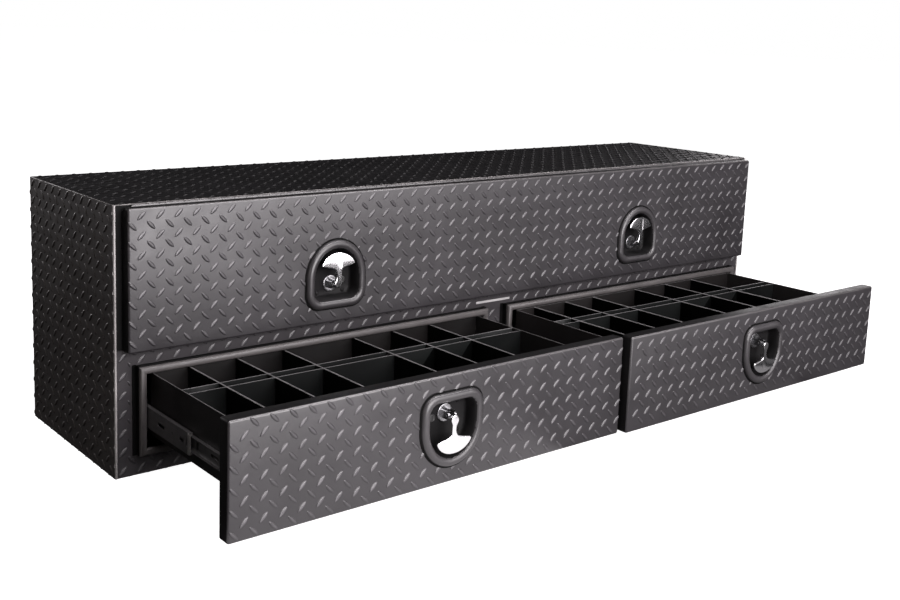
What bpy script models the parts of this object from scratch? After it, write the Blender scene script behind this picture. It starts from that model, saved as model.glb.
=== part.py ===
"""Topside truck tool box: one full-width flip-up door over two full-extension drawers.

Folded-sheet aluminium body with pan-shaped tread-plate door and drawer fronts that close over
rubber-edged opening lips, four folding T-handle latches, two gas struts, four ball-bearing slides.

Frame: origin at the centre of the floor panel's underside, +X to the right seen from the front,
+Y from the front face to the back, +Z up. Rest pose: door closed, both drawers drawn out,
handles folded flat in their dishes. Lengths below are millimetres until scaled by MM.
"""

import math

import bmesh
import bpy
from mathutils import Matrix, Vector

for old in list(bpy.data.objects):
    bpy.data.objects.remove(old, do_unlink=True)

MM = 0.001

# ---- driving dimensions (mm) ----
WIDTH, DEPTH, HEIGHT = 1828.8, 406.4, 508.0
SHEET = 2.0  # body sheet
THIN = 1.6  # drawer and inner-panel sheet
GAP = 0.3  # between touching pieces

PROUD = 28.0  # front of door and drawer fronts, ahead of the face frame
FLANGE_END = -1.8  # where the door's and fronts' return flanges end, ahead of the face

DOOR_X, DOOR_Z0, DOOR_Z1 = 898.3, 240.2, 504.1
FRONT_XO, FRONT_XI, FRONT_Z0, FRONT_Z1 = 905.0, 6.0, 29.1, 231.4

LIP = 12.0  # opening lips, ahead of the face
LOWER = (34.0, 871.0, 45.0, 209.0)  # lip centreline: |x| inner, |x| outer, z low, z high
UPPER = (863.0, 261.0, 481.0)  # lip centreline: |x|, z low, z high
SEAL_W, SEAL_FRONT, SEAL_BACK = 17.0, -25.5, -9.0

HINGE_Y, HINGE_Z = -4.1, 504.1
KNUCKLE_R, BORE_R, PIN_R = 3.8, 2.3, 2.0
HINGE_LEN, KNUCKLES = 1760.0, 23

LATCH_X, DOOR_LATCH_Z, DRAWER_LATCH_Z = 455.0, 316.0, 154.0
DISH_DEPTH = 22.0
DOOR_KEEPER_Z, DRAWER_KEEPER_Z = 284.0, 74.0  # tops of the tabs the cams hook behind
DOOR_CAM, DRAWER_CAM = -44.0, 100.0  # cam tips from the spindle, towards the paddle

SHELF_Z = 232.0
CHANNEL_X = 43.2  # centre channel's outer half width
SLIDE_Z, SLIDE_T, SLIDE_LEN = 114.0, 12.7, 380.0
SLIDE_Y0 = 4.0
BRACKET_X = 861.8  # face of the outer slide brackets

PAN_X0, PAN_X1, PAN_Z0, PAN_Z1 = 56.5, 848.5, 77.0, 196.0  # drawer pan, |x| and z
PAN_Y0, PAN_Y1, PAN_WALL_Y = -25.7, 362.0, 14.0
LEFT_OPEN, RIGHT_OPEN = 372.0, 383.0  # how far each drawer is drawn out at rest

STRUT_X = 849.5
STRUT_B = (184.0, 324.0)  # body pivot, (depth, height)
STRUT_A = (3.9, 438.1)  # door pivot, door closed


# ---- helpers ----
def depth(y):
    """A depth measured back from the front face, as this frame's y."""
    return y - DEPTH / 2


def material(name, colour, roughness, metallic):
    made = bpy.data.materials.new(name)
    made.use_nodes = True
    shader = made.node_tree.nodes["Principled BSDF"]
    shader.inputs["Base Color"].default_value = (*colour, 1.0)
    shader.inputs["Roughness"].default_value = roughness
    shader.inputs["Metallic"].default_value = metallic
    made.diffuse_color = (*colour, 1.0)
    return made


BLACK = material("black_powder_coat", (0.030, 0.028, 0.031), 0.42, 0.35)
LINER = material("black_drawer_coat", (0.022, 0.024, 0.024), 0.38, 0.30)
SEAL_RUBBER = material("seal_rubber", (0.060, 0.055, 0.053), 0.60, 0.0)
CHROME = material("chrome", (0.82, 0.82, 0.84), 0.10, 1.0)
SLIDE_STEEL = material("slide_steel", (0.16, 0.155, 0.16), 0.35, 0.8)
PIN_STEEL = material("pin_steel", (0.45, 0.45, 0.46), 0.30, 1.0)
DISH_BLACK = material("dish_black", (0.028, 0.026, 0.028), 0.34, 0.20)
STRUT_BLACK = material("strut_black", (0.020, 0.020, 0.022), 0.28, 0.4)
TRIM = material("bare_aluminium", (0.72, 0.72, 0.73), 0.28, 1.0)


def add_box(bm, x0, x1, y0, y1, z0, z1):
    """A closed box in bm, in millimetres."""
    x0, x1 = sorted((x0, x1))
    corners = [
        bm.verts.new((x, y, z)) for x in (x0, x1) for y in (y0, y1) for z in (z0, z1)
    ]
    for face in (
        (0, 1, 3, 2),
        (4, 6, 7, 5),
        (0, 4, 5, 1),
        (2, 3, 7, 6),
        (0, 2, 6, 4),
        (1, 5, 7, 3),
    ):
        bm.faces.new([corners[i] for i in face])


def add_prism(bm, outline, axis, low, high):
    """A closed prism in bm: outline is (a, b) pairs in the two other axes, in X, Y, Z order."""
    rings = []
    for level in (low, high):
        ring = []
        for a, b in outline:
            point = [a, b]
            point.insert("XYZ".index(axis), level)
            ring.append(bm.verts.new(point))
        rings.append(ring)
    count = len(outline)
    for i in range(count):
        j = (i + 1) % count
        bm.faces.new((rings[0][i], rings[0][j], rings[1][j], rings[1][i]))
    bm.faces.new(rings[0][::-1])
    bm.faces.new(rings[1])


def circle(ca, cb, radius, count, start=0.0):
    return [
        (
            ca + radius * math.cos(start + 2 * math.pi * i / count),
            cb + radius * math.sin(start + 2 * math.pi * i / count),
        )
        for i in range(count)
    ]


def arc(ca, cb, radius, first, last, count):
    """Points on an arc, angles in degrees, both ends included."""
    return [
        (
            ca + radius * math.cos(math.radians(first + (last - first) * i / (count - 1))),
            cb + radius * math.sin(math.radians(first + (last - first) * i / (count - 1))),
        )
        for i in range(count)
    ]


def mesh_of(bm):
    """bm, in millimetres, as a mesh in metres with its normals outward."""
    bmesh.ops.recalc_face_normals(bm, faces=bm.faces)
    bmesh.ops.scale(bm, vec=(MM, MM, MM), verts=bm.verts)
    mesh = bpy.data.meshes.new("mesh")
    bm.to_mesh(mesh)
    bm.free()
    return mesh


def built(*adders):
    """A mesh from functions that each add to a bmesh."""
    bm = bmesh.new()
    for adder in adders:
        adder(bm)
    return mesh_of(bm)


def combine(base, other, operation):
    """base with other joined or cut, as a new mesh."""
    a = bpy.data.objects.new("a", base)
    b = bpy.data.objects.new("b", other)
    for obj in (a, b):
        bpy.context.scene.collection.objects.link(obj)
    modifier = a.modifiers.new("combine", "BOOLEAN")
    modifier.operation = operation
    modifier.solver = "EXACT"
    modifier.object = b
    bpy.context.view_layer.update()
    graph = bpy.context.evaluated_depsgraph_get()
    result = bpy.data.meshes.new_from_object(a.evaluated_get(graph))
    for obj in (a, b):
        bpy.data.objects.remove(obj, do_unlink=True)
    return result


def joined(base, *others):
    for other in others:
        base = combine(base, other, "UNION")
    return base


def cut(base, *others):
    for other in others:
        base = combine(base, other, "DIFFERENCE")
    return base


def pivot(name, at):
    """An empty on a joint's axis, for the pieces that move with it."""
    empty = bpy.data.objects.new(name, None)
    empty.location = Vector(at) * MM
    empty.empty_display_size = 0.03
    bpy.context.scene.collection.objects.link(empty)
    return empty


def place(name, mesh, mat, at=(0, 0, 0), turn=0.0, parent=None, smooth=0.0):
    """A named piece. at is in millimetres in the world, turn is degrees about Y."""
    obj = bpy.data.objects.new(name, mesh)
    obj.data.name = name
    obj.data.materials.clear()
    obj.data.materials.append(mat)
    bpy.context.scene.collection.objects.link(obj)
    world = Matrix.Translation(Vector(at) * MM) @ Matrix.Rotation(
        math.radians(turn), 4, "Y"
    )
    if parent is None:
        obj.matrix_world = world
    else:
        offset = Matrix.Translation(-parent.location)
        obj.parent = parent
        obj.matrix_basis = offset @ world
    if smooth:
        obj.data.shade_smooth()
        obj.data.set_sharp_from_angle(angle=math.radians(smooth))
    return obj


# Pieces modelled in world millimetres with y counted back from the front face
FACE_ORIGIN = (0.0, -DEPTH / 2, 0.0)


# ---- body shell ----
half = WIDTH / 2
inner = half - SHEET - GAP


def box_piece(name, *limits, mat=BLACK, at=FACE_ORIGIN, parent=None):
    return place(name, built(lambda bm: add_box(bm, *limits)), mat, at=at, parent=parent)


box_piece("left_end_panel", -half, -half + SHEET, 0, DEPTH, 0, HEIGHT)
box_piece("right_end_panel", half - SHEET, half, 0, DEPTH, 0, HEIGHT)
box_piece(
    "roof_panel", -inner, inner, 0, DEPTH - SHEET - GAP, HEIGHT - SHEET, HEIGHT
)


def add_keepers(z0, z1):
    """Upright tabs just behind the face frame, for the latch cams to hook."""

    def add(bm):
        for sign in (-1, 1):
            add_box(
                bm,
                sign * (LATCH_X - 15),
                sign * (LATCH_X + 15),
                SHEET + GAP,
                2 * SHEET + GAP,
                z0,
                z1,
            )

    return add


place(
    "floor_panel",
    joined(
        built(
            lambda bm: add_box(
                bm, -inner, inner, SHEET + GAP, DEPTH - SHEET - GAP, 0, SHEET
            )
        ),
        built(add_keepers(0.5, DRAWER_KEEPER_Z)),
    ),
    BLACK,
    at=FACE_ORIGIN,
)
box_piece("back_panel", -inner, inner, DEPTH - SHEET, DEPTH, 0, HEIGHT)

# Face frame: a plate with three openings, each edged by a lip turned forward
lx0, lx1, lz0, lz1 = LOWER
ux, uz0, uz1 = UPPER


def lip_boxes(grow, y0, y1):
    def add(bm):
        for sign in (-1, 1):
            add_box(
                bm,
                sign * (lx0 - grow),
                sign * (lx1 + grow),
                y0,
                y1,
                lz0 - grow,
                lz1 + grow,
            )
        add_box(bm, -ux - grow, ux + grow, y0, y1, uz0 - grow, uz1 + grow)

    return add


frame = built(
    lambda bm: add_box(bm, -inner, inner, 0, SHEET, 0, HEIGHT - SHEET - GAP)
)
frame = joined(frame, built(lip_boxes(1.0, -LIP, SHEET - 0.5)))
frame = cut(frame, built(lip_boxes(-1.0, -LIP - 5, SHEET + 5)))
place("face_frame", frame, BLACK, at=FACE_ORIGIN)

# Shelf between the compartment and the drawers, with a front flange down behind the frame
shelf_profile = [
    (SHEET + GAP, SHELF_Z),
    (SHEET + GAP, SHELF_Z - 14),
    (2 * SHEET + GAP, SHELF_Z - 14),
    (2 * SHEET + GAP, SHELF_Z - 2.0),
    (DEPTH - SHEET - GAP, SHELF_Z - 2.0),
    (DEPTH - SHEET - GAP, SHELF_Z),
]
place(
    "compartment_shelf",
    joined(
        built(lambda bm: add_prism(bm, shelf_profile, "X", -inner, inner)),
        built(add_keepers(SHELF_Z - 1.0, DOOR_KEEPER_Z)),
    ),
    BLACK,
    at=FACE_ORIGIN,
)

# Centre channel that carries the two inner slides
top_of_channel = SHELF_Z - 2.0 - GAP
channel_profile = [
    (-CHANNEL_X, SHEET + GAP),
    (CHANNEL_X, SHEET + GAP),
    (CHANNEL_X, top_of_channel),
    (CHANNEL_X - SHEET, top_of_channel),
    (CHANNEL_X - SHEET, 2 * SHEET + GAP),
    (-CHANNEL_X + SHEET, 2 * SHEET + GAP),
    (-CHANNEL_X + SHEET, top_of_channel),
    (-CHANNEL_X, top_of_channel),
]
channel_mesh = built(
    lambda bm: add_prism(
        bm, channel_profile, "Y", 2 * SHEET + 2 * GAP, DEPTH - SHEET - GAP
    )
)
place("centre_channel", channel_mesh, BLACK, at=FACE_ORIGIN)

# Hat-shaped brackets between the end panels and the outer slides
for side, sign in (("left", -1), ("right", 1)):
    bracket_profile = [
        (sign * inner, SLIDE_Z - 32),
        (sign * BRACKET_X, SLIDE_Z - 32),
        (sign * BRACKET_X, SLIDE_Z + 32),
        (sign * inner, SLIDE_Z + 32),
        (sign * inner, SLIDE_Z + 30),
        (sign * (BRACKET_X + SHEET), SLIDE_Z + 30),
        (sign * (BRACKET_X + SHEET), SLIDE_Z - 30),
        (sign * inner, SLIDE_Z - 30),
    ]
    place(
        side + "_slide_bracket",
        built(
            lambda bm, p=bracket_profile: add_prism(
                bm, p, "Y", SHEET + GAP, SLIDE_Y0 + SLIDE_LEN + 8
            )
        ),
        BLACK,
        at=FACE_ORIGIN,
    )

# Bright strip on the face above the centre post
box_piece(
    "post_trim_strip", -50, 52, -1.3, -GAP, 218.6, 223.6, mat=TRIM
)


# ---- opening seals: bulb strips pushed onto the lip edges ----
def seal_profile():
    """(outward, y) around the bulb and the groove that holds the lip."""
    h = SEAL_W / 2
    f = SEAL_FRONT
    grip = -LIP - GAP
    return [
        (-h, -13.0),
        (-h, f + 6.5),
        (-h + 2.0, f + 2.0),
        (-2.5, f),
        (2.5, f),
        (h - 2.0, f + 2.0),
        (h, f + 6.5),
        (h, -13.0),
        (h - 1.5, SEAL_BACK),
        (1.0 + GAP, SEAL_BACK),
        (1.0 + GAP, grip),
        (-1.0 - GAP, grip),
        (-1.0 - GAP, SEAL_BACK),
        (-h + 1.5, SEAL_BACK),
    ]


def add_ring(bm, profile, x0, x1, z0, z1):
    """The profile swept round a rectangle with mitred corners."""
    rings = [
        [
            bm.verts.new(p)
            for p in (
                (x0 - n, y, z0 - n),
                (x1 + n, y, z0 - n),
                (x1 + n, y, z1 + n),
                (x0 - n, y, z1 + n),
            )
        ]
        for n, y in profile
    ]
    for i, ring in enumerate(rings):
        following = rings[(i + 1) % len(rings)]
        for k in range(4):
            j = (k + 1) % 4
            bm.faces.new((ring[k], ring[j], following[j], following[k]))


for name, limits in (
    ("door_seal", (-ux, ux, uz0, uz1)),
    ("left_drawer_seal", (-lx1, -lx0, lz0, lz1)),
    ("right_drawer_seal", (lx0, lx1, lz0, lz1)),
):
    place(
        name,
        built(lambda bm, lim=limits: add_ring(bm, seal_profile(), *lim)),
        SEAL_RUBBER,
        at=FACE_ORIGIN,
        smooth=35,
    )


# ---- continuous hinge along the door's top ----
# Each leaf's strip is tangent to the barrel and rolls round the pin as alternate knuckles
segment = HINGE_LEN / KNUCKLES
hinge_at = (0.0, depth(HINGE_Y), HINGE_Z)


def knuckle_limits(odd):
    for i in range(KNUCKLES):
        if i % 2 == odd:
            start = -HINGE_LEN / 2 + i * segment
            yield start + 0.3, start + segment - 0.3


def body_knuckle_outline():
    outer = arc(0, 0, KNUCKLE_R, 0, 285, 13)
    bore = arc(0, 0, BORE_R, 285, 0, 13)
    return [(KNUCKLE_R, -6.0), *outer, *bore, (BORE_R, -6.0)]


def door_knuckle_outline():
    outer = arc(0, 0, KNUCKLE_R, 270, 555, 13)
    bore = arc(0, 0, BORE_R, 555, 270, 13)
    return [(-6.0, -KNUCKLE_R), *outer, *bore, (-6.0, -BORE_R)]


def add_knuckles(outline, odd):
    def add(bm):
        for low, high in knuckle_limits(odd):
            add_prism(bm, outline, "X", low, high)

    return add


body_leaf = joined(
    built(
        lambda bm: add_box(
            bm, -HINGE_LEN / 2, HINGE_LEN / 2, BORE_R, KNUCKLE_R, -12.6, -4.6
        )
    ),
    built(add_knuckles(body_knuckle_outline(), 0)),
)
place("hinge_body_leaf", body_leaf, BLACK, at=hinge_at, smooth=35)

door_axis = pivot("door_axis", hinge_at)
door_leaf = joined(
    built(
        lambda bm: add_box(
            bm, -HINGE_LEN / 2, HINGE_LEN / 2, -20.0, -4.6, -KNUCKLE_R, -BORE_R
        )
    ),
    built(add_knuckles(door_knuckle_outline(), 1)),
)
place("hinge_door_leaf", door_leaf, BLACK, at=hinge_at, parent=door_axis, smooth=35)
place(
    "hinge_pin",
    built(
        lambda bm: add_prism(
            bm, circle(0, 0, PIN_R, 12), "X", -HINGE_LEN / 2 - 1, HINGE_LEN / 2 + 1
        )
    ),
    PIN_STEEL,
    at=hinge_at,
    smooth=35,
)


# ---- latch dishes: an arch over a round-cornered base, with a raised bead round a deep recess ----
def dish_outline(inward):
    """(x, z) round the dish, inward from its rim, with the spindle at the origin."""
    centre = 24.0
    half_width = 70.0 - inward
    base = centre - 69.0 + inward
    spring = centre - 8.0
    rise = centre + 69.0 - inward - spring
    corner = 32.0 - 0.8 * inward
    points = arc(half_width - corner, base + corner, corner, -90, 0, 5)
    for i in range(13):
        angle = math.pi * i / 12
        points.append((half_width * math.cos(angle), spring + rise * math.sin(angle)))
    points += arc(-half_width + corner, base + corner, corner, 180, 270, 5)
    return points


def add_dish(bm):
    front = [
        (0.0, -GAP),
        (0.0, -3.0),
        (3.5, -7.2),
        (9.0, -9.0),
        (14.5, -7.2),
        (18.5, -2.0),
        (20.0, 8.0),
        (21.0, DISH_DEPTH - 3),
        (24.5, DISH_DEPTH),
    ]
    back = [
        (23.5, DISH_DEPTH + 2),
        (19.0, DISH_DEPTH - 1.5),
        (18.0, 8.0),
        (16.5, -GAP),
    ]
    rings = [
        [bm.verts.new((x, y, z)) for x, z in dish_outline(d)] for d, y in front + back
    ]
    count = len(rings[0])
    floor_front, floor_back = len(front) - 1, len(front)
    for i, ring in enumerate(rings):
        if i == floor_front:
            bm.faces.new(ring)
            continue
        if i == floor_back:
            bm.faces.new(ring[::-1])
        following = rings[(i + 1) % len(rings)]
        for k in range(count):
            j = (k + 1) % count
            bm.faces.new((ring[k], ring[j], following[j], following[k]))


PLUG_AT = (29.0, 5.0)
dish_mesh = cut(
    built(add_dish),
    built(
        lambda bm: add_prism(bm, circle(0, 0, 9.0, 16), "Y", 10, 30),
        lambda bm: add_prism(bm, circle(*PLUG_AT, 6.6, 14), "Y", 10, 30),
    ),
)


def dish_hole(bm, x, z, flip, y0, y1):
    """The cut-out for a dish in a sheet."""
    sign = -1 if flip else 1
    add_prism(bm, [(x + sign * a, z + sign * b) for a, b in dish_outline(14.8)], "Y", y0, y1)


# ---- spindle: flange, shaft, fork, cross pin and the cam that hooks behind the frame ----
PIVOT_Y = 5.0
EAR_R = 7.0


def add_ears(bm):
    outline = [
        (DISH_DEPTH - 1.5, -EAR_R),
        *arc(PIVOT_Y, 0, EAR_R, 270, 90, 9),
        (DISH_DEPTH - 1.5, EAR_R),
    ]
    for low, high in ((-9.5, -4.9), (4.9, 9.5)):
        add_prism(bm, outline, "X", low, high)


def cam_outline(reach):
    """(x, z) of a cam whose tip is at z = reach."""
    way = 1 if reach > 0 else -1
    end = abs(reach)
    points = [
        (-7, -11),
        (7, -11),
        (11, -6),
        (10, end - 12),
        (7, end - 3),
        (0, end),
        (-7, end - 3),
        (-10, end - 12),
        (-11, -6),
    ]
    return [(x, way * z) for x, z in points]


def spindle(reach):
    return joined(
        built(
            lambda bm: add_prism(
                bm, circle(0, 0, 17.0, 24), "Y", DISH_DEPTH - 2.6, DISH_DEPTH - 0.4
            )
        ),
        built(
            lambda bm: add_prism(bm, circle(0, 0, 8.0, 16), "Y", DISH_DEPTH - 1.5, 39.0)
        ),
        built(add_ears),
        built(lambda bm: add_prism(bm, circle(PIVOT_Y, 0, 2.2, 10), "X", -7.0, 7.0)),
        built(lambda bm: add_prism(bm, cam_outline(reach), "Y", 33.2, 37.2)),
    )


SPINDLES = {False: spindle(DOOR_CAM), True: spindle(DRAWER_CAM)}


# ---- T-handle: crescent paddle on a slim stem, with a tongue on the spindle's cross pin ----
def handle_outline():
    right = [
        (6.0, 8.6),
        (5.6, 20.0),
        (6.2, 29.0),
        (9.5, 34.5),
        (18.0, 38.0),
        (29.0, 40.0),
        (37.0, 41.5),
        (39.0, 43.5),
        (38.0, 47.0),
        (33.5, 54.0),
        (26.0, 60.5),
        (17.0, 65.0),
        (8.5, 67.3),
    ]
    return right + [(0.0, 68.0)] + [(-x, z) for x, z in reversed(right)]


def add_handle(bm):
    """The outline lofted front to back with chamfered edges."""
    outline = handle_outline()
    centre = (0.0, 40.0)
    rings = []
    for y, inset in ((-4.5, 1.6), (-2.9, 0.0), (2.3, 0.0), (3.5, 1.2)):
        ring = []
        for x, z in outline:
            shrunk = x * (1 - inset / 39.0) if abs(x) > 7 else x
            if z > 30:
                shrunk_z = z + (centre[1] + 8 - z) * inset / 24.0
            else:
                shrunk_z = z
            ring.append(bm.verts.new((shrunk, y, shrunk_z)))
        rings.append(ring)
    count = len(outline)
    for first, second in zip(rings, rings[1:]):
        for k in range(count):
            j = (k + 1) % count
            bm.faces.new((first[k], first[j], second[j], second[k]))
    bm.faces.new(rings[0])
    bm.faces.new(rings[-1][::-1])


tongue_outline = [
    *arc(PIVOT_Y, 0, 6.0, 150, 390, 11),
    (2.6, 10.5),
    (-1.6, 10.5),
]
handle_mesh = joined(
    built(add_handle), built(lambda bm: add_prism(bm, tongue_outline, "X", -4.5, 4.5))
)
handle_mesh = cut(
    handle_mesh, built(lambda bm: add_prism(bm, circle(PIVOT_Y, 0, 2.5, 10), "X", -9, 9))
)

# ---- lock plug: face, barrel through the dish floor, and a tail towards the spindle ----
plug_mesh = joined(
    built(
        lambda bm: add_prism(
            bm, circle(0, 0, 7.4, 16), "Y", DISH_DEPTH - 2.4, DISH_DEPTH - 0.4
        )
    ),
    built(lambda bm: add_prism(bm, circle(0, 0, 6.2, 14), "Y", DISH_DEPTH - 1.2, 25.4)),
    built(lambda bm: add_box(bm, -13.0, 3.0, 24.4, 25.8, -2.5, 2.5)),
)


def latch(prefix, x, z, drawn, flip, parent):
    """One latch. Its own frame has the spindle axis at the origin, on the sheet's front plane."""
    turn = 180.0 if flip else 0.0
    sign = -1 if flip else 1
    at = (x, depth(-PROUD - drawn), z)
    place(prefix + "_latch_dish", dish_mesh.copy(), DISH_BLACK, at, turn, parent, 40)
    spindle_axis = pivot(prefix + "_spindle_axis", at)
    handle_axis = pivot(prefix + "_handle_axis", (at[0], at[1] + PIVOT_Y, at[2]))
    plug_axis = pivot(
        prefix + "_plug_axis",
        (x + sign * PLUG_AT[0], at[1], z + sign * PLUG_AT[1]),
    )
    place(prefix + "_spindle", SPINDLES[flip].copy(), CHROME, at, turn, spindle_axis, 35)
    place(prefix + "_t_handle", handle_mesh.copy(), CHROME, at, turn, handle_axis, 50)
    plug_world = (x + sign * PLUG_AT[0], at[1], z + sign * PLUG_AT[1])
    place(prefix + "_lock_plug", plug_mesh.copy(), CHROME, plug_world, turn, plug_axis, 35)


# ---- door ----
door_skin = cut(
    built(
        lambda bm: add_box(bm, -DOOR_X, DOOR_X, -PROUD, FLANGE_END, DOOR_Z0, DOOR_Z1)
    ),
    built(
        lambda bm: add_box(
            bm,
            -DOOR_X + SHEET,
            DOOR_X - SHEET,
            -PROUD + SHEET,
            10,
            DOOR_Z0 + SHEET,
            DOOR_Z1 - SHEET,
        )
    ),
    built(lambda bm: add_box(bm, -DOOR_X - 5, DOOR_X + 5, -8.5, 10, DOOR_Z1 - 5, DOOR_Z1 + 5)),
    built(
        lambda bm: dish_hole(bm, -LATCH_X, DOOR_LATCH_Z, False, -PROUD - 5, -PROUD + 8),
        lambda bm: dish_hole(bm, LATCH_X, DOOR_LATCH_Z, False, -PROUD - 5, -PROUD + 8),
    ),
)
place("door_skin", door_skin, BLACK, at=FACE_ORIGIN, parent=door_axis)

PANEL_X, PANEL_Z0, PANEL_Z1 = 845.0, 273.0, 464.0
panel = cut(
    built(
        lambda bm: add_box(
            bm, -PANEL_X, PANEL_X, -PROUD + SHEET + GAP, THIN, PANEL_Z0, PANEL_Z1
        )
    ),
    built(
        lambda bm: add_box(
            bm,
            -PANEL_X + THIN,
            PANEL_X - THIN,
            -40,
            0,
            PANEL_Z0 + THIN,
            PANEL_Z1 - THIN,
        )
    ),
    built(
        lambda bm: add_prism(bm, circle(-LATCH_X, DOOR_LATCH_Z, 10.5, 16), "Y", -10, 10),
        lambda bm: add_prism(bm, circle(LATCH_X, DOOR_LATCH_Z, 10.5, 16), "Y", -10, 10),
    ),
)
panel = joined(
    panel,
    built(
        lambda bm: add_box(bm, -PANEL_X, -PANEL_X + THIN, 0.8, 14.0, 428.0, 448.0),
        lambda bm: add_box(bm, PANEL_X - THIN, PANEL_X, 0.8, 14.0, 428.0, 448.0),
    ),
)
place("door_inner_panel", panel, LINER, at=FACE_ORIGIN, parent=door_axis)

latch("door_left", -LATCH_X, DOOR_LATCH_Z, 0.0, False, door_axis)
latch("door_right", LATCH_X, DOOR_LATCH_Z, 0.0, False, door_axis)

# ---- gas struts between the end panels and the door's inner panel ----
span = Vector((STRUT_A[0] - STRUT_B[0], STRUT_A[1] - STRUT_B[1]))
reach = span.length
tilt = math.atan2(span.y, span.x)  # in the depth-height plane

CYL_END, BORE_START, ROD_START = 150.0, 20.0, 26.0


def strut_cylinder():
    """Along +Y from the body pivot at the origin."""
    body = joined(
        built(lambda bm: add_prism(bm, circle(0, 0, 8.0, 16), "Y", 6.0, CYL_END)),
        built(lambda bm: add_prism(bm, circle(0, 0, 7.5, 14), "X", -4.0, 4.0)),
    )
    return cut(
        body,
        built(
            lambda bm: add_prism(bm, circle(0, 0, 3.8, 12), "Y", BORE_START, CYL_END + 5)
        ),
        built(lambda bm: add_prism(bm, circle(0, 0, 3.4, 12), "X", -9.0, 9.0)),
    )


def strut_rod():
    return joined(
        built(lambda bm: add_prism(bm, circle(0, 0, 3.2, 12), "Y", ROD_START, reach - 3.0)),
        built(lambda bm: add_prism(bm, circle(reach, 0, 7.0, 14), "X", -3.5, 3.5)),
    )


for side, sign in (("left", -1), ("right", 1)):
    x = sign * STRUT_X
    base = (x, depth(STRUT_B[0]), STRUT_B[1])
    axis = pivot(side + "_strut_axis", base)
    for name, mesh, mat in (
        ("cylinder", strut_cylinder(), STRUT_BLACK),
        ("rod", strut_rod(), CHROME),
    ):
        mesh.transform(Matrix.Rotation(tilt, 4, "X"))
        place(f"{side}_strut_{name}", mesh, mat, base, 0.0, axis, 35)

    def add_arm(bm, s=sign):
        low, high = sorted((s * (STRUT_X + 6.0), s * (inner - 1.0)))
        add_prism(bm, circle(*STRUT_B, 6.0, 12), "X", low, high)

    def add_pin(bm, s=sign):
        low, high = sorted((s * (STRUT_X - 4.0), s * (STRUT_X + 8.0)))
        add_prism(bm, circle(*STRUT_B, 3.0, 12), "X", low, high)

    def add_plate(bm, s=sign):
        add_box(
            bm,
            s * (inner - 2.0),
            s * inner,
            STRUT_B[0] - 18,
            STRUT_B[0] + 18,
            STRUT_B[1] - 18,
            STRUT_B[1] + 18,
        )

    place(
        side + "_strut_bracket",
        joined(built(add_plate), built(add_arm), built(add_pin)),
        PIN_STEEL,
        at=FACE_ORIGIN,
        smooth=35,
    )


# ---- ball-bearing slides: x runs from the cabinet face (0) to the drawer face ----
def member_profile(kind):
    """(x, z) outline of a channel section, z from the slide's centre."""
    if kind == "cabinet":
        w0, w1, h, t, tip = 0.0, 1.6, 23.0, 1.4, 11.8
    elif kind == "middle":
        w0, w1, h, t, tip = 3.2, 4.7, 20.0, 1.4, 10.6
    else:
        w0, w1, h, t, tip = SLIDE_T, SLIDE_T - 1.5, 14.5, 1.4, 6.2
    return [
        (w0, -h),
        (tip, -h),
        (tip, -h + t),
        (w1, -h + t),
        (w1, h - t),
        (tip, h - t),
        (tip, h),
        (w0, h),
    ]


def slide_member(kind, sign, y0, y1):
    """sign +1 when the drawer lies towards +X of the cabinet face."""
    profile = [(sign * x, z) for x, z in member_profile(kind)]
    mesh = built(lambda bm: add_prism(bm, profile, "Y", y0, y1))
    slots = []
    if kind == "middle":
        slots = [(y0 + 22.0, y0 + 38.0, -3.5, 3.5), (y1 - 60.0, y1 - 44.0, -3.5, 3.5)]
    elif kind == "drawer":
        slots = [(y0 + 60.0, y0 + 70.0, -3.0, 3.0), (y1 - 70.0, y1 - 60.0, -3.0, 3.0)]
    if slots:
        mesh = cut(
            mesh,
            built(
                lambda bm: [
                    add_box(bm, sign * 2.0, sign * (SLIDE_T + 3.0), a, b, c, d)
                    for a, b, c, d in slots
                ]
            ),
        )
    return mesh


# ---- drawers ----
def drawer_pan(sign):
    x0, x1 = sorted((sign * PAN_X0, sign * PAN_X1))
    return cut(
        built(lambda bm: add_box(bm, x0, x1, PAN_Y0, PAN_Y1, PAN_Z0, PAN_Z1)),
        built(
            lambda bm: add_box(
                bm,
                x0 + THIN,
                x1 - THIN,
                PAN_WALL_Y + THIN,
                PAN_Y1 - THIN,
                PAN_Z0 + THIN,
                PAN_Z1 + 10,
            ),
            lambda bm: add_box(
                bm,
                x0 + THIN,
                x1 - THIN,
                PAN_Y0 - 10,
                PAN_WALL_Y,
                PAN_Z0 - 10,
                PAN_Z1 + 10,
            ),
        ),
    )


RAIL_Y0, RAIL_Y1, DIVIDER_T = 215.0, 242.0, 1.2


def divider_grid(sign, places):
    """A channel rail along the drawer with cross dividers slotted over it."""
    x0, x1 = sorted((sign * PAN_X0, sign * PAN_X1))
    low, high = PAN_Z0 + THIN + GAP, PAN_Z1 - 0.3
    rail = [
        (RAIL_Y0, low),
        (RAIL_Y1, low),
        (RAIL_Y1, high),
        (RAIL_Y1 - DIVIDER_T, high),
        (RAIL_Y1 - DIVIDER_T, low + DIVIDER_T),
        (RAIL_Y0 + DIVIDER_T, low + DIVIDER_T),
        (RAIL_Y0 + DIVIDER_T, high),
        (RAIL_Y0, high),
    ]
    return joined(
        built(
            lambda bm: add_prism(bm, rail, "X", x0 + THIN + GAP, x1 - THIN - GAP)
        ),
        built(
            lambda bm: [
                add_box(
                    bm,
                    x - DIVIDER_T / 2,
                    x + DIVIDER_T / 2,
                    PAN_WALL_Y + THIN + GAP,
                    PAN_Y1 - THIN - GAP,
                    low,
                    high,
                )
                for x in places
            ]
        ),
    )


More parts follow.
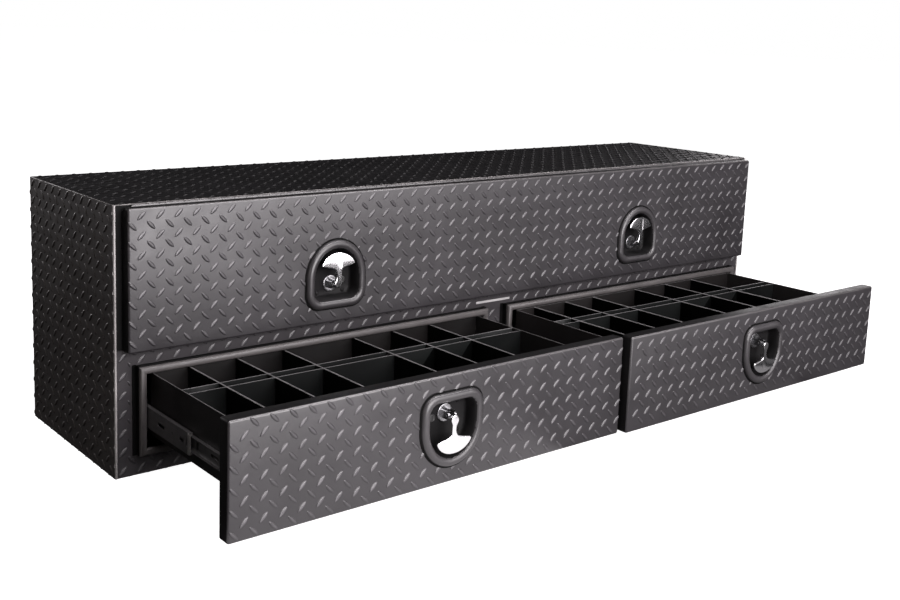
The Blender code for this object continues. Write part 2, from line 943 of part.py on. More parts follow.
def drawer_front(sign):
    x0, x1 = sorted((sign * FRONT_XO, sign * FRONT_XI))
    return cut(
        built(
            lambda bm: add_box(bm, x0, x1, -PROUD, FLANGE_END, FRONT_Z0, FRONT_Z1)
        ),
        built(
            lambda bm: add_box(
                bm,
                x0 + SHEET,
                x1 - SHEET,
                -PROUD + SHEET,
                10,
                FRONT_Z0 + SHEET,
                FRONT_Z1 - SHEET,
            )
        ),
        built(
            lambda bm: dish_hole(
                bm, sign * LATCH_X, DRAWER_LATCH_Z, True, -PROUD - 5, -PROUD + 8
            )
        ),
    )


DIVIDERS = {
    "left": (-772.5, -672.0, -567.0, -399.0, -298.0, -197.0),
    "right": (114.0, 214.5, 311.0, 467.0, 583.0, 689.0),
}

for side, sign, drawn in (("left", -1, LEFT_OPEN), ("right", 1, RIGHT_OPEN)):
    drawer_axis = pivot(
        side + "_drawer_axis", (sign * LATCH_X, depth(-drawn), SLIDE_Z)
    )
    half_axis = pivot(
        side + "_carriage_axis", (sign * LATCH_X, depth(-drawn / 2), SLIDE_Z)
    )
    at = (0.0, depth(-drawn), 0.0)
    place(side + "_drawer_pan", drawer_pan(sign), LINER, at, parent=drawer_axis)
    place(
        side + "_divider_grid",
        divider_grid(sign, DIVIDERS[side]),
        LINER,
        at,
        parent=drawer_axis,
    )
    place(side + "_drawer_front", drawer_front(sign), BLACK, at, parent=drawer_axis)
    latch(side + "_drawer", sign * LATCH_X, DRAWER_LATCH_Z, drawn, True, drawer_axis)
    for where, x, way in (
        ("outer", sign * (BRACKET_X - GAP), -sign),
        ("inner", sign * (CHANNEL_X + GAP), sign),
    ):
        y0, y1 = SLIDE_Y0, SLIDE_Y0 + SLIDE_LEN
        for kind, moved, parent in (
            ("cabinet", 0.0, None),
            ("middle", drawn / 2, half_axis),
            ("drawer", drawn, drawer_axis),
        ):
            inset = {"cabinet": 0.0, "middle": 4.0, "drawer": 0.0}[kind]
            place(
                f"{side}_{where}_slide_{kind}",
                slide_member(kind, way, y0, y1 - inset),
                SLIDE_STEEL,
                (x, depth(-moved), SLIDE_Z),
                parent=parent,
            )
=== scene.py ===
"""Looks of the truck tool box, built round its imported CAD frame."""

import math

import bmesh
import bpy
import numpy as np
from mathutils import Matrix, Vector


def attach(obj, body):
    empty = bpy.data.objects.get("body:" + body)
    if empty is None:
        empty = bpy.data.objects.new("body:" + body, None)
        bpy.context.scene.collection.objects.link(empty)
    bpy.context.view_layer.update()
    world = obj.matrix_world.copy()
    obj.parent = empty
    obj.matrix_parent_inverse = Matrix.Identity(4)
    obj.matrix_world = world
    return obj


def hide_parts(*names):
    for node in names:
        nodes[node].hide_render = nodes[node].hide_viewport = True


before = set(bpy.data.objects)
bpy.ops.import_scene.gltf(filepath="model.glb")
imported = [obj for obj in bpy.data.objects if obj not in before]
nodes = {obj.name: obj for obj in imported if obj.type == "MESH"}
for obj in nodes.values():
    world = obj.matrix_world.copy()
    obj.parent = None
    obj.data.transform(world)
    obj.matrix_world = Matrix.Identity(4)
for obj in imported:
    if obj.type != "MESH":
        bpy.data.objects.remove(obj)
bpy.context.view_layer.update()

MM = 0.001
DEPTH = 406.4
LEFT_OPEN, RIGHT_OPEN = 372.0, 383.0


# ---------------------------------------------------------------- materials
class Nodes:
    """Short hand for building a material's nodes."""

    def __init__(self, name):
        self.mat = bpy.data.materials.new(name)
        self.mat.use_nodes = True
        self.tree = self.mat.node_tree
        self.shader = self.tree.nodes["Principled BSDF"]
        coords = self.tree.nodes.new("ShaderNodeTexCoord")
        self.place = coords.outputs["Object"]

    def link(self, a, b):
        self.tree.links.new(a, b)

    def noise(self, scale, detail=3.0, rough=0.5, stretch=None, distortion=0.0):
        node = self.tree.nodes.new("ShaderNodeTexNoise")
        node.inputs["Scale"].default_value = scale
        node.inputs["Detail"].default_value = detail
        node.inputs["Roughness"].default_value = rough
        node.inputs["Distortion"].default_value = distortion
        if stretch:
            mapping = self.tree.nodes.new("ShaderNodeMapping")
            mapping.inputs["Scale"].default_value = stretch
            self.link(self.place, mapping.inputs["Vector"])
            self.link(mapping.outputs["Vector"], node.inputs["Vector"])
        else:
            self.link(self.place, node.inputs["Vector"])
        return node.outputs["Fac"]

    def remap(self, value, a, b, c, d):
        node = self.tree.nodes.new("ShaderNodeMapRange")
        for key, number in zip(("From Min", "From Max", "To Min", "To Max"), (a, b, c, d)):
            node.inputs[key].default_value = number
        self.link(value, node.inputs["Value"])
        return node.outputs["Result"]

    def mix(self, factor, one, two):
        node = self.tree.nodes.new("ShaderNodeMix")
        node.data_type = "RGBA"
        self.link(factor, node.inputs["Factor"])
        for socket, colour in ((node.inputs["A"], one), (node.inputs["B"], two)):
            pass
        ins = [s for s in node.inputs if s.type == "RGBA"]
        for socket, colour in zip(ins, (one, two)):
            if isinstance(colour, tuple):
                socket.default_value = (*colour, 1.0)
            else:
                self.link(colour, socket)
        return [s for s in node.outputs if s.type == "RGBA"][0]

    def maths(self, operation, a, b):
        node = self.tree.nodes.new("ShaderNodeMath")
        node.operation = operation
        for socket, value in zip(node.inputs, (a, b)):
            if isinstance(value, (int, float)):
                socket.default_value = value
            else:
                self.link(value, socket)
        return node.outputs[0]

    def attribute(self, name):
        node = self.tree.nodes.new("ShaderNodeAttribute")
        node.attribute_name = name
        return node.outputs["Fac"]

    def bump(self, height, strength, distance):
        node = self.tree.nodes.new("ShaderNodeBump")
        node.inputs["Strength"].default_value = strength
        node.inputs["Distance"].default_value = distance
        self.link(height, node.inputs["Height"])
        self.link(node.outputs["Normal"], self.shader.inputs["Normal"])

    def set(self, **values):
        for key, value in values.items():
            socket = self.shader.inputs[key.replace("_", " ")]
            if isinstance(value, (int, float)):
                socket.default_value = value
            elif isinstance(value, tuple):
                socket.default_value = (*value, 1.0)
            else:
                self.link(value, socket)
        return self.mat


def powder_coat(name, colour, light, rough, crest=True, specular=0.5, highlight_edge=None):
    """Satin powder coat: fine orange peel, soft mottling, lug crests lighter (partly rubbed wear, partly painted
    highlight); optionally a painted highlight along one front edge.
    """
    n = Nodes(name)
    mottled = n.mix(n.remap(n.noise(7.0, 4.0), 0.35, 0.7, 0.0, 1.0), colour, light)
    if crest:
        # Lug crests lighter: partly rubbed wear, partly painted highlight.
        crest_wear_and_highlight = n.maths("MULTIPLY", n.attribute("crest"), n.remap(n.noise(60.0, 2.0), 0.3, 0.75, 0.25, 0.9))
        mottled = n.mix(crest_wear_and_highlight, mottled, tuple(c * 3.0 + 0.055 for c in light))
    # Painted highlight: a lighter, patchy line along the sheet's front edge, at the y the edge argument gives.
    if highlight_edge:
        split = n.tree.nodes.new("ShaderNodeSeparateXYZ")
        n.link(n.place, split.inputs[0])
        front = n.remap(split.outputs["Y"], highlight_edge - 0.0003, highlight_edge + 0.0003, 1.0, 0.0)
        lighter_edge = n.maths("MULTIPLY", front, n.remap(n.noise(34.0, 4.0), 0.3, 0.65, 0.35, 1.0))
        mottled = n.mix(lighter_edge, mottled, (0.24, 0.230, 0.226))
    peel = n.noise(1500.0, 2.0)
    broad = n.noise(260.0, 2.0)
    height = n.maths("ADD", n.maths("MULTIPLY", peel, 0.5), broad)
    if crest:
        height = n.maths("ADD", height, n.maths("MULTIPLY", n.noise(120.0, 2.0), 1.6))
    n.bump(height, 0.30, 0.00025)
    return n.set(
        Base_Color=mottled,
        Roughness=n.remap(n.noise(18.0, 5.0), 0.3, 0.72, rough - 0.05, rough + 0.07),
        Metallic=0.0,
        Specular_IOR_Level=specular,
    )


def lipped_coat(name, colour, light, lip_shade_colour, level, shade, rough):
    """Powder coat with painted shade: dull and darker on the turned lips and up beside the door."""
    n = Nodes(name)
    split = n.tree.nodes.new("ShaderNodeSeparateXYZ")
    n.link(n.place, split.inputs[0])
    base = n.mix(n.remap(n.noise(7.0, 4.0), 0.35, 0.7, 0.0, 1.0), colour, light)
    # Painted shade on the turned lips, and above the shade height beside the door.
    lip_shade = n.remap(split.outputs["Y"], level - 0.0006, level + 0.0001, 1.0, 0.0)
    forward = n.maths("MAXIMUM", lip_shade, n.remap(split.outputs["Z"], shade - 0.0015, shade + 0.0015, 0.0, 1.0))
    n.bump(n.noise(900.0, 2.0), 0.2, 0.00025)
    return n.set(
        Base_Color=n.mix(forward, base, lip_shade_colour),
        Roughness=n.remap(forward, 0.0, 1.0, rough, rough + 0.35),
        Specular_IOR_Level=0.20,
    )


def tray_coat(name, colour, light, edge, level, rough, specular):
    """Smooth black coat, lighter along its top edges."""
    n = Nodes(name)
    split = n.tree.nodes.new("ShaderNodeSeparateXYZ")
    n.link(n.place, split.inputs[0])
    top_edge_band = n.remap(split.outputs["Z"], level - 0.0002, level + 0.0002, 0.0, 1.0)
    lighter_edge = n.maths("MULTIPLY", top_edge_band, n.remap(n.noise(45.0, 3.0), 0.25, 0.6, 0.55, 1.0))
    base = n.mix(n.remap(n.noise(5.0, 4.0), 0.35, 0.7, 0.0, 1.0), colour, light)
    n.bump(n.noise(700.0, 2.0), 0.10, 0.0002)
    return n.set(
        Base_Color=n.mix(lighter_edge, base, edge),
        Roughness=n.remap(n.noise(12.0, 5.0), 0.3, 0.72, rough - 0.04, rough + 0.08),
        Specular_IOR_Level=specular,
    )


def metal(name, colour, dark, rough_low, rough_high, stretch, bump=0.05, metallic=1.0):
    n = Nodes(name)
    streaks = n.noise(420.0, 4.0, 0.6, stretch)
    n.bump(streaks, bump, 0.0001)
    return n.set(
        Base_Color=n.mix(n.remap(n.noise(24.0, 5.0, 0.6), 0.35, 0.7, 0.0, 1.0), colour, dark),
        Roughness=n.remap(streaks, 0.3, 0.7, rough_low, rough_high),
        Metallic=metallic,
    )


def rubber(name, colour, light):
    n = Nodes(name)
    grain = n.noise(1800.0, 3.0)
    n.bump(grain, 0.25, 0.0002)
    bloom = n.remap(n.noise(14.0, 5.0, 0.65), 0.4, 0.75, 0.0, 1.0)
    return n.set(
        Base_Color=n.mix(bloom, colour, light),
        Roughness=n.remap(n.noise(30.0, 3.0), 0.3, 0.7, 0.42, 0.55),
        Specular_IOR_Level=0.55,
    )


def matte(name, colour, light, rough=0.72, specular=0.06):
    n = Nodes(name)
    n.bump(n.noise(900.0, 2.0), 0.15, 0.0002)
    return n.set(
        Base_Color=n.mix(n.remap(n.noise(9.0, 4.0), 0.35, 0.7, 0.0, 1.0), colour, light),
        Roughness=n.remap(n.noise(30.0, 3.0), 0.3, 0.7, rough - 0.05, rough + 0.05),
        Specular_IOR_Level=specular,
    )


TREAD = powder_coat("tread_black", (0.0170, 0.0156, 0.0172), (0.0235, 0.0217, 0.0240), 0.41, specular=0.6)
# Lighter, warmer copy of the tread black for the end panels: painted light, with a painted highlight line along the
# front edge.
ENDS_LIT = powder_coat(
    "tread_black_end_lit", (0.0330, 0.0285, 0.0270), (0.0410, 0.0357, 0.0338), 0.50, crest=False, specular=0.38, highlight_edge=-0.2032 + 0.0019
)
# Darker copy of the tread black for the roof: painted shade, with a painted highlight line along its front edge.
ROOF_SHADE = powder_coat(
    "tread_black_roof_shade", (0.0030, 0.0028, 0.0030), (0.0048, 0.0045, 0.0049), 0.52, specular=0.14, highlight_edge=-0.2032 + 0.0010
)
# Lighter copy for the bend faces that look up and forward: painted highlight.
BEND_HIGHLIGHT = powder_coat("bend_highlight_black", (0.042, 0.0395, 0.0405), (0.060, 0.0570, 0.0580), 0.36, crest=False, specular=0.75)
# Mid-grey for the rods at the front corners: a painted highlight along the corners.
CORNER_HIGHLIGHT = powder_coat("corner_highlight_grey", (0.20, 0.190, 0.187), (0.40, 0.385, 0.38), 0.36, crest=False, specular=0.75)
# Lighter copy of the black paint for the hinge: painted highlight along the barrel.
HINGE_HIGHLIGHT = powder_coat("hinge_highlight_black", (0.045, 0.043, 0.044), (0.065, 0.062, 0.063), 0.34, crest=False, specular=0.7)
# Darker copy for the pans' flanges and back-facing faces: painted shade.
FOLD_SHADE = powder_coat("fold_shade_black", (0.0035, 0.0033, 0.0035), (0.0055, 0.0052, 0.0055), 0.52, crest=False, specular=0.14)
SHEET = powder_coat("sheet_black", (0.010, 0.0095, 0.010), (0.014, 0.0135, 0.0145), 0.42, crest=False)
GRID = tray_coat("divider_black", (0.0035, 0.0040, 0.0040), (0.0060, 0.0070, 0.0068), (0.135, 0.131, 0.133), 0.1951, 0.50, 0.16)
PAN = tray_coat("pan_black", (0.0042, 0.0038, 0.0038), (0.0080, 0.0068, 0.0066), (0.10, 0.097, 0.098), 0.1954, 0.46, 0.30)
DISH = powder_coat("dish_black", (0.025, 0.0235, 0.025), (0.032, 0.030, 0.032), 0.36, crest=False, specular=0.6)
# Darker copy of the dish colour for the inside of the latch dishes and their screws: painted shade in the recess.
WELL_SHADE = matte("dish_well_shade", (0.0060, 0.0058, 0.0060), (0.0105, 0.0100, 0.0105), 0.5, 0.10)
# Near-black matte for pieces that stand in for shade: the ring round each dish (painted shadow), and the seal clips and
# the flaps beside the drawer seals (painted shade).
SHADOW_BLACK = matte("shadow_black_matte", (0.0025, 0.0025, 0.0025), (0.0045, 0.0045, 0.0045))
RUBBER = rubber("seal_rubber", (0.0481, 0.0442, 0.0442), (0.0702, 0.0650, 0.0637))
CHROME = metal("chrome", (0.93, 0.93, 0.94), (0.88, 0.88, 0.90), 0.12, 0.20, (1.0, 1.0, 0.2), 0.02)
SPINDLE = metal("spindle_chrome", (0.42, 0.42, 0.43), (0.30, 0.30, 0.31), 0.22, 0.34, (1.0, 1.0, 1.0), 0.03)
LOCK = metal("lock_dark", (0.14, 0.14, 0.14), (0.10, 0.10, 0.10), 0.25, 0.35, (1.0, 1.0, 1.0), 0.03)
SLIDE = metal("slide_steel", (0.125, 0.120, 0.122), (0.085, 0.082, 0.084), 0.34, 0.50, (1.0, 0.02, 1.0), 0.10, 0.6)
CLIP = metal("slide_clip", (0.46, 0.45, 0.44), (0.32, 0.31, 0.30), 0.25, 0.4, (1.0, 1.0, 1.0), 0.06, 0.8)
STEEL = metal("zinc_steel", (0.48, 0.47, 0.46), (0.36, 0.355, 0.35), 0.25, 0.40, (0.05, 1.0, 1.0))
BRIGHT = metal("bare_aluminium", (0.66, 0.65, 0.65), (0.48, 0.47, 0.47), 0.40, 0.52, (0.03, 1.0, 1.0), 0.08, 0.55)
STRUT = powder_coat("strut_black", (0.012, 0.012, 0.013), (0.016, 0.016, 0.017), 0.22, crest=False)


# ---------------------------------------------------------------- mesh helpers
def add_box(bm, x0, x1, y0, y1, z0, z1):
    x0, x1 = sorted((x0, x1))
    corners = [bm.verts.new((x, y, z)) for x in (x0, x1) for y in (y0, y1) for z in (z0, z1)]
    made = []
    for face in ((0, 1, 3, 2), (4, 6, 7, 5), (0, 4, 5, 1), (2, 3, 7, 6), (0, 2, 6, 4), (1, 5, 7, 3)):
        made.append(bm.faces.new([corners[i] for i in face]))
    return corners, made


def add_prism(bm, outline, axis, low, high):
    rings = []
    for level in (low, high):
        ring = []
        for a, b in outline:
            point = [a, b]
            point.insert("XYZ".index(axis), level)
            ring.append(bm.verts.new(point))
        rings.append(ring)
    count = len(outline)
    for i in range(count):
        j = (i + 1) % count
        bm.faces.new((rings[0][i], rings[0][j], rings[1][j], rings[1][i]))
    bm.faces.new(rings[0][::-1])
    bm.faces.new(rings[1])


def circle(ca, cb, radius, count, start=0.0):
    return [
        (ca + radius * math.cos(start + 2 * math.pi * i / count), cb + radius * math.sin(start + 2 * math.pi * i / count))
        for i in range(count)
    ]


def arc(ca, cb, radius, first, last, count):
    return [
        (
            ca + radius * math.cos(math.radians(first + (last - first) * i / (count - 1))),
            cb + radius * math.sin(math.radians(first + (last - first) * i / (count - 1))),
        )
        for i in range(count)
    ]


def add_turned(bm, profile, at, axis, count=32):
    """A closed solid of revolution. profile: (radius, along); its ends lie on the axis."""
    cx, cy, cz = at
    rings = []
    for r, s in profile:
        if r < 1e-6:
            point = {"X": (cx + s, cy, cz), "Y": (cx, cy + s, cz), "Z": (cx, cy, cz + s)}[axis]
            rings.append([bm.verts.new(point)])
            continue
        ring = []
        for i in range(count):
            a = 2 * math.pi * i / count
            u, v = r * math.cos(a), r * math.sin(a)
            point = {
                "X": (cx + s, cy + u, cz + v),
                "Y": (cx + u, cy + s, cz + v),
                "Z": (cx + u, cy + v, cz + s),
            }[axis]
            ring.append(bm.verts.new(point))
        rings.append(ring)
    for one, two in zip(rings, rings[1:]):
        for k in range(count):
            j = (k + 1) % count
            if len(one) == 1:
                bm.faces.new((one[0], two[j], two[k]))
            elif len(two) == 1:
                bm.faces.new((one[k], one[j], two[0]))
            else:
                bm.faces.new((one[k], one[j], two[j], two[k]))


def mesh_of(bm):
    bmesh.ops.recalc_face_normals(bm, faces=bm.faces)
    mesh = bpy.data.meshes.new("mesh")
    bm.to_mesh(mesh)
    bm.free()
    return mesh


def built(*adders):
    bm = bmesh.new()
    for adder in adders:
        adder(bm)
    return mesh_of(bm)


def combine(base, other, operation):
    a = bpy.data.objects.new("a", base)
    b = bpy.data.objects.new("b", other)
    for obj in (a, b):
        bpy.context.scene.collection.objects.link(obj)
    modifier = a.modifiers.new("combine", "BOOLEAN")
    modifier.operation = operation
    modifier.solver = "EXACT"
    modifier.object = b
    bpy.context.view_layer.update()
    graph = bpy.context.evaluated_depsgraph_get()
    result = bpy.data.meshes.new_from_object(a.evaluated_get(graph))
    for obj in (a, b):
        bpy.data.objects.remove(obj, do_unlink=True)
    return result


def joined(base, *others):
    for other in others:
        base = combine(base, other, "UNION")
    return base


def cut(base, *others):
    for other in others:
        base = combine(base, other, "DIFFERENCE")
    return base


def piece(name, mesh, mat, body, node=None, drawn=0.0, at=None, flip=False, smooth=35.0, bevel=0.0, segments=2, tilt=0.0):
    """A shown piece. Its mesh is in millimetres, with y back from the front face or from at."""
    if at is None:
        world = Matrix.Translation((0.0, (-DEPTH / 2 - drawn) * MM, 0.0))
    else:
        world = Matrix.Translation(Vector(at) * MM)
        if flip:
            world = world @ Matrix.Rotation(math.pi, 4, "Y")
        if tilt:
            world = world @ Matrix.Rotation(tilt, 4, "X")
    mesh.transform(world @ Matrix.Scale(MM, 4))
    obj = bpy.data.objects.new(name, mesh)
    obj.data.materials.clear()
    for m in mat if isinstance(mat, (list, tuple)) else (mat,):
        obj.data.materials.append(m)
    bpy.context.scene.collection.objects.link(obj)
    if bevel:
        modifier = obj.modifiers.new("edge", "BEVEL")
        modifier.width = bevel * MM
        modifier.segments = segments
        modifier.limit_method = "ANGLE"
        modifier.angle_limit = math.radians(38)
    if smooth:
        obj.data.shade_smooth()
        obj.data.set_sharp_from_angle(angle=math.radians(smooth))
    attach(obj, body)
    if node:
        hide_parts(*(node if isinstance(node, (list, tuple)) else (node,)))
    return obj


def dress(node, mat, bevel=0.0, smooth=30.0, segments=2):
    """A CAD node that stays: its material, and softened edges."""
    obj = nodes[node]
    obj.data.materials.clear()
    obj.data.materials.append(mat)
    if bevel:
        weld = obj.modifiers.new("weld", "WELD")
        weld.merge_threshold = 0.00001
        modifier = obj.modifiers.new("edge", "BEVEL")
        modifier.width = bevel * MM
        modifier.segments = segments
        modifier.limit_method = "ANGLE"
        modifier.angle_limit = math.radians(smooth)
    return obj


# ---------------------------------------------------------------- tread lugs
LATTICE = 35.92
LUG_A, LUG_B, LUG_H = 10.9, 3.30, 1.30


def lug_template(turn):
    """Points (u, v, h) and faces of one lens-shaped lug, closed underneath."""
    count = 14
    rings = ((1.12, 1.45, -0.35), (1.06, 1.22, 0.03), (0.99, 0.96, 0.52), (0.92, 0.70, 0.98), (0.79, 0.36, 1.24))
    points, faces = [], []
    for sa, sb, h in rings:
        for i in range(count):
            t = 2 * math.pi * i / count
            a = LUG_A * sa * math.cos(t)
            b = LUG_B * sb * math.copysign(abs(math.sin(t)) ** 1.35, math.sin(t))
            points.append((a * math.cos(turn) - b * math.sin(turn), a * math.sin(turn) + b * math.cos(turn), h))
    for r in range(len(rings) - 1):
        for i in range(count):
            j = (i + 1) % count
            faces.append((r * count + i, r * count + j, (r + 1) * count + j, (r + 1) * count + i))
    points.append((0.0, 0.0, LUG_H))
    top = len(points) - 1
    last = (len(rings) - 1) * count
    for i in range(count):
        faces.append((last + i, last + (i + 1) % count, top))
    faces.append(tuple(range(count))[::-1])
    return np.array(points), faces


LUGS = (lug_template(math.radians(45)), lug_template(math.radians(-45)))


def lug_field(u0, u1, v0, v1, margin, keep=None, phase=(0.0, 0.0)):
    """Lugs on a sheet's blank: (points, faces, crest height per point, which sets the crest lightening)."""
    points, faces, height, start = [], [], [], 0
    half = LATTICE / 2
    i0, i1 = math.floor((u0 - margin) / half) - 1, math.ceil((u1 + margin) / half) + 1
    j0, j1 = math.floor((v0 - margin) / half) - 1, math.ceil((v1 + margin) / half) + 1
    for i in range(i0, i1 + 1):
        for j in range(j0, j1 + 1):
            if (i + j) % 2:
                continue
            kind = i % 2
            u, v = i * half + phase[0], j * half + phase[1]
            if u < u0 - margin or u > u1 + margin or v < v0 - margin or v > v1 + margin:
                continue
            if keep and not keep(u, v):
                continue
            template, quads = LUGS[kind]
            points.append(template + np.array((u, v, 0.0)))
            # Painted highlight: lugs turned +45 degrees keep their full crest lightening, lugs turned -45 degrees get
            # only 0.62 of it.
            height.append(template[:, 2] * (1.0, 0.62)[kind])
            faces += [tuple(start + k for k in q) for q in quads]
            start += len(template)
    return np.concatenate(points), faces, np.concatenate(height)


def bend(u, low, high, radius):
    """Along-axis place, depth behind the front, and outward normal, for a blank coordinate that wraps over both ends."""
    if u > high - radius:
        s = u - (high - radius)
        a = min(s / radius, math.pi / 2)
        extra = max(0.0, s - radius * math.pi / 2)
        return high - radius + radius * math.sin(a), radius - radius * math.cos(a) + extra, math.sin(a), math.cos(a)
    if u < low + radius:
        p, d, nu, nd = bend(low + high - u, low, high, radius)
        return low + high - p, d, -nu, nd
    return u, 0.0, 0.0, 1.0


def pan_lugs(x0, x1, z0, z1, front, radius, depth, keep, phase):
    """Lugs over a pan's front and round its bends, as a mesh."""
    points, faces, height = lug_field(x0, x1, z0, z1, depth, keep, phase)
    per = len(LUGS[0][0])
    per_faces = len(LUGS[0][1])
    out = np.zeros_like(points)
    good = []
    for lug in range(len(points) // per):
        ok = True
        for k in range(lug * per, (lug + 1) * per):
            u, v, h = points[k]
            px, dx, nx, cx = bend(u, x0, x1, radius)
            pz, dz, nz, cz = bend(v, z0, z1, radius)
            if (dx > 0.6 and dz > 0.6) or max(dx, dz) > depth:
                ok = False
                break
            out[k] = (px + nx * h, front + dx + dz - h * min(cx, cz), pz + nz * h)
        good.append(ok)
    keep_points = np.repeat(np.array(good), per)
    index = np.cumsum(keep_points) - 1
    kept = [tuple(int(index[k]) for k in f) for n, f in enumerate(faces) if good[n // per_faces]]
    return out[keep_points], kept, height[keep_points]


def lug_mesh(points, faces, height):
    mesh = bpy.data.meshes.new("lugs")
    mesh.from_pydata([tuple(p) for p in points], [], faces)
    attribute = mesh.attributes.new("crest", "FLOAT", "POINT")
    attribute.data.foreach_set("value", np.clip((height - 0.55) / (LUG_H - 0.55), 0, 1).astype(np.float32))
    mesh.shade_smooth()
    return mesh


def flat_lugs(u0, u1, v0, v1, phase, mapping, keep=None, holes=()):
    """Lugs on a flat sheet cut off at its edges."""
    points, faces, height = lug_field(u0, u1, v0, v1, 12.0, keep, phase)
    mesh = lug_mesh(points, faces, height)
    bm = bmesh.new()
    bm.from_mesh(mesh)
    inset = 0.25
    for co, no in (
        ((u0 + inset, 0, 0), (-1, 0, 0)),
        ((u1 - inset, 0, 0), (1, 0, 0)),
        ((0, v0 + inset, 0), (0, -1, 0)),
        ((0, v1 - inset, 0), (0, 1, 0)),
    ):
        result = bmesh.ops.bisect_plane(
            bm, geom=bm.verts[:] + bm.edges[:] + bm.faces[:], plane_co=co, plane_no=no, clear_outer=True
        )
        edges = [e for e in result["geom_cut"] if isinstance(e, bmesh.types.BMEdge)]
        bmesh.ops.holes_fill(bm, edges=edges)
    for vert in bm.verts:
        vert.co = mapping(*vert.co)
    bmesh.ops.recalc_face_normals(bm, faces=bm.faces)
    bm.to_mesh(mesh)
    bm.free()
    mesh.shade_smooth()
    mesh.set_sharp_from_angle(angle=math.radians(60))
    return mesh


def rounded_box(limits, radius, segments=4):
    """A box with all its edges rounded."""

    def add(bm):
        corners, faces = add_box(bm, *limits)
        edges = list({e for f in faces for e in f.edges})
        bmesh.ops.bevel(
            bm, geom=edges, offset=radius, offset_type="OFFSET", segments=segments, profile=0.5, affect="EDGES"
        )

    return built(add)


def merged(*meshes):
    """Several meshes as one, keeping attributes."""
    objects = []
    for mesh in meshes:
        obj = bpy.data.objects.new("part", mesh)
        bpy.context.scene.collection.objects.link(obj)
        objects.append(obj)
    bm = bmesh.new()
    for obj in objects:
        bm.from_mesh(obj.data)
    result = bpy.data.meshes.new("merged")
    bm.to_mesh(result)
    bm.free()
    for obj in objects:
        bpy.data.objects.remove(obj, do_unlink=True)
    return result


# ---------------------------------------------------------------- latch shapes
DISH_DEPTH, PIVOT_Y = 22.0, 5.0
LATCH_X, DOOR_LATCH_Z, DRAWER_LATCH_Z = 455.0, 316.0, 154.0
PLUG_AT = (29.0, 5.0)


def dish_outline(inward, corner_count=14, arch_count=56):
    centre = 24.0
    half_width = 70.0 - inward
    base = centre - 69.0 + inward
    spring = centre - 8.0
    rise = centre + 69.0 - inward - spring
    corner = 32.0 - 0.8 * inward
    points = arc(half_width - corner, base + corner, corner, -90, 0, corner_count)
    for i in range(arch_count + 1):
        angle = math.pi * i / arch_count
        points.append((half_width * math.cos(angle), spring + rise * math.sin(angle)))
    points += arc(-half_width + corner, base + corner, corner, 180, 270, corner_count)
    return points


def smoothed(points, steps):
    """A Catmull-Rom curve through open points."""
    out = []
    p = [points[0]] + list(points) + [points[-1]]
    for i in range(1, len(p) - 2):
        for k in range(steps):
            t = k / steps
            out.append(
                tuple(
                    0.5
                    * (
                        2 * p[i][c]
                        + (p[i + 1][c] - p[i - 1][c]) * t
                        + (2 * p[i - 1][c] - 5 * p[i][c] + 4 * p[i + 1][c] - p[i + 2][c]) * t * t
                        + (3 * p[i][c] - p[i - 1][c] - 3 * p[i + 1][c] + p[i + 2][c]) * t**3
                    )
                    for c in range(2)
                )
            )
    out.append(tuple(points[-1]))
    return out


def in_dish(x, z, cx, cz, flip, inward):
    """Whether a sheet point is inside a latch's outline, that far in from its rim."""
    s = -1 if flip else 1
    a, b = s * (x - cx), s * (z - cz)
    outline = dish_outline(inward, 5, 12)
    inside = False
    for k in range(len(outline)):
        (x1, z1), (x2, z2) = outline[k], outline[(k + 1) % len(outline)]
        if (z1 > b) != (z2 > b) and a < (x2 - x1) * (b - z1) / (z2 - z1) + x1:
            inside = not inside
    return inside


def add_dish(bm):
    front = smoothed(
        [
            (0.0, -0.3), (0.0, -3.0), (1.2, -5.6), (3.8, -7.8), (8.0, -9.0), (12.0, -8.3), (15.2, -6.0),
            (17.6, -2.4), (19.0, 3.0), (19.9, 9.0), (20.6, 15.0), (21.6, 19.4), (24.5, DISH_DEPTH),
        ],
        3,
    )
    back = [(23.5, DISH_DEPTH + 1.6), (19.8, DISH_DEPTH - 1.0), (18.4, 8.0), (16.5, -0.3)]
    rings = [[bm.verts.new((x, y, z)) for x, z in dish_outline(d)] for d, y in front + back]
    count = len(rings[0])
    floor_front, floor_back = len(front) - 1, len(front)
    for i, ring in enumerate(rings):
        if i == floor_front:
            bm.faces.new(ring)
            continue
        if i == floor_back:
            bm.faces.new(ring[::-1])
        following = rings[(i + 1) % len(rings)]
        for k in range(count):
            j = (k + 1) % count
            bm.faces.new((ring[k], ring[j], following[j], following[k]))


def dish_mesh():
    body = cut(
        built(add_dish),
        built(
            lambda bm: add_prism(bm, circle(0, 0, 9.0, 32), "Y", 10, 30),
            lambda bm: add_prism(bm, circle(*PLUG_AT, 6.6, 28), "Y", 10, 30),
        ),
    )
    def screws(bm):
        for x, z in ((-31, -17), (31, -17), (-33, 38), (33, 38)):
            add_turned(
                bm,
                [(0, -2.1), (1.6, -2.1), (3.2, -1.6), (4.2, -0.6), (4.4, 0.4), (4.4, 1.0), (0, 1.0)],
                (x, DISH_DEPTH, z),
                "Y",
                24,
            )
    return body, built(screws)


def handle_outline():
    right = smoothed(
        [
            (1.5, -3.4), (5.6, -1.8), (8.2, 2.4), (8.3, 7.0), (6.4, 11.6), (4.8, 16.5), (4.2, 22.0), (4.3, 26.5),
            (5.6, 31.0), (9.4, 34.8), (17.0, 37.6), (27.0, 39.8), (35.5, 41.6), (38.8, 43.8), (38.4, 47.2),
            (34.0, 54.0), (26.5, 60.4), (17.5, 65.0), (8.8, 67.4), (0.0, 68.0),
        ],
        4,
    )
    return right + [(-x, z) for x, z in reversed(right[:-1])]


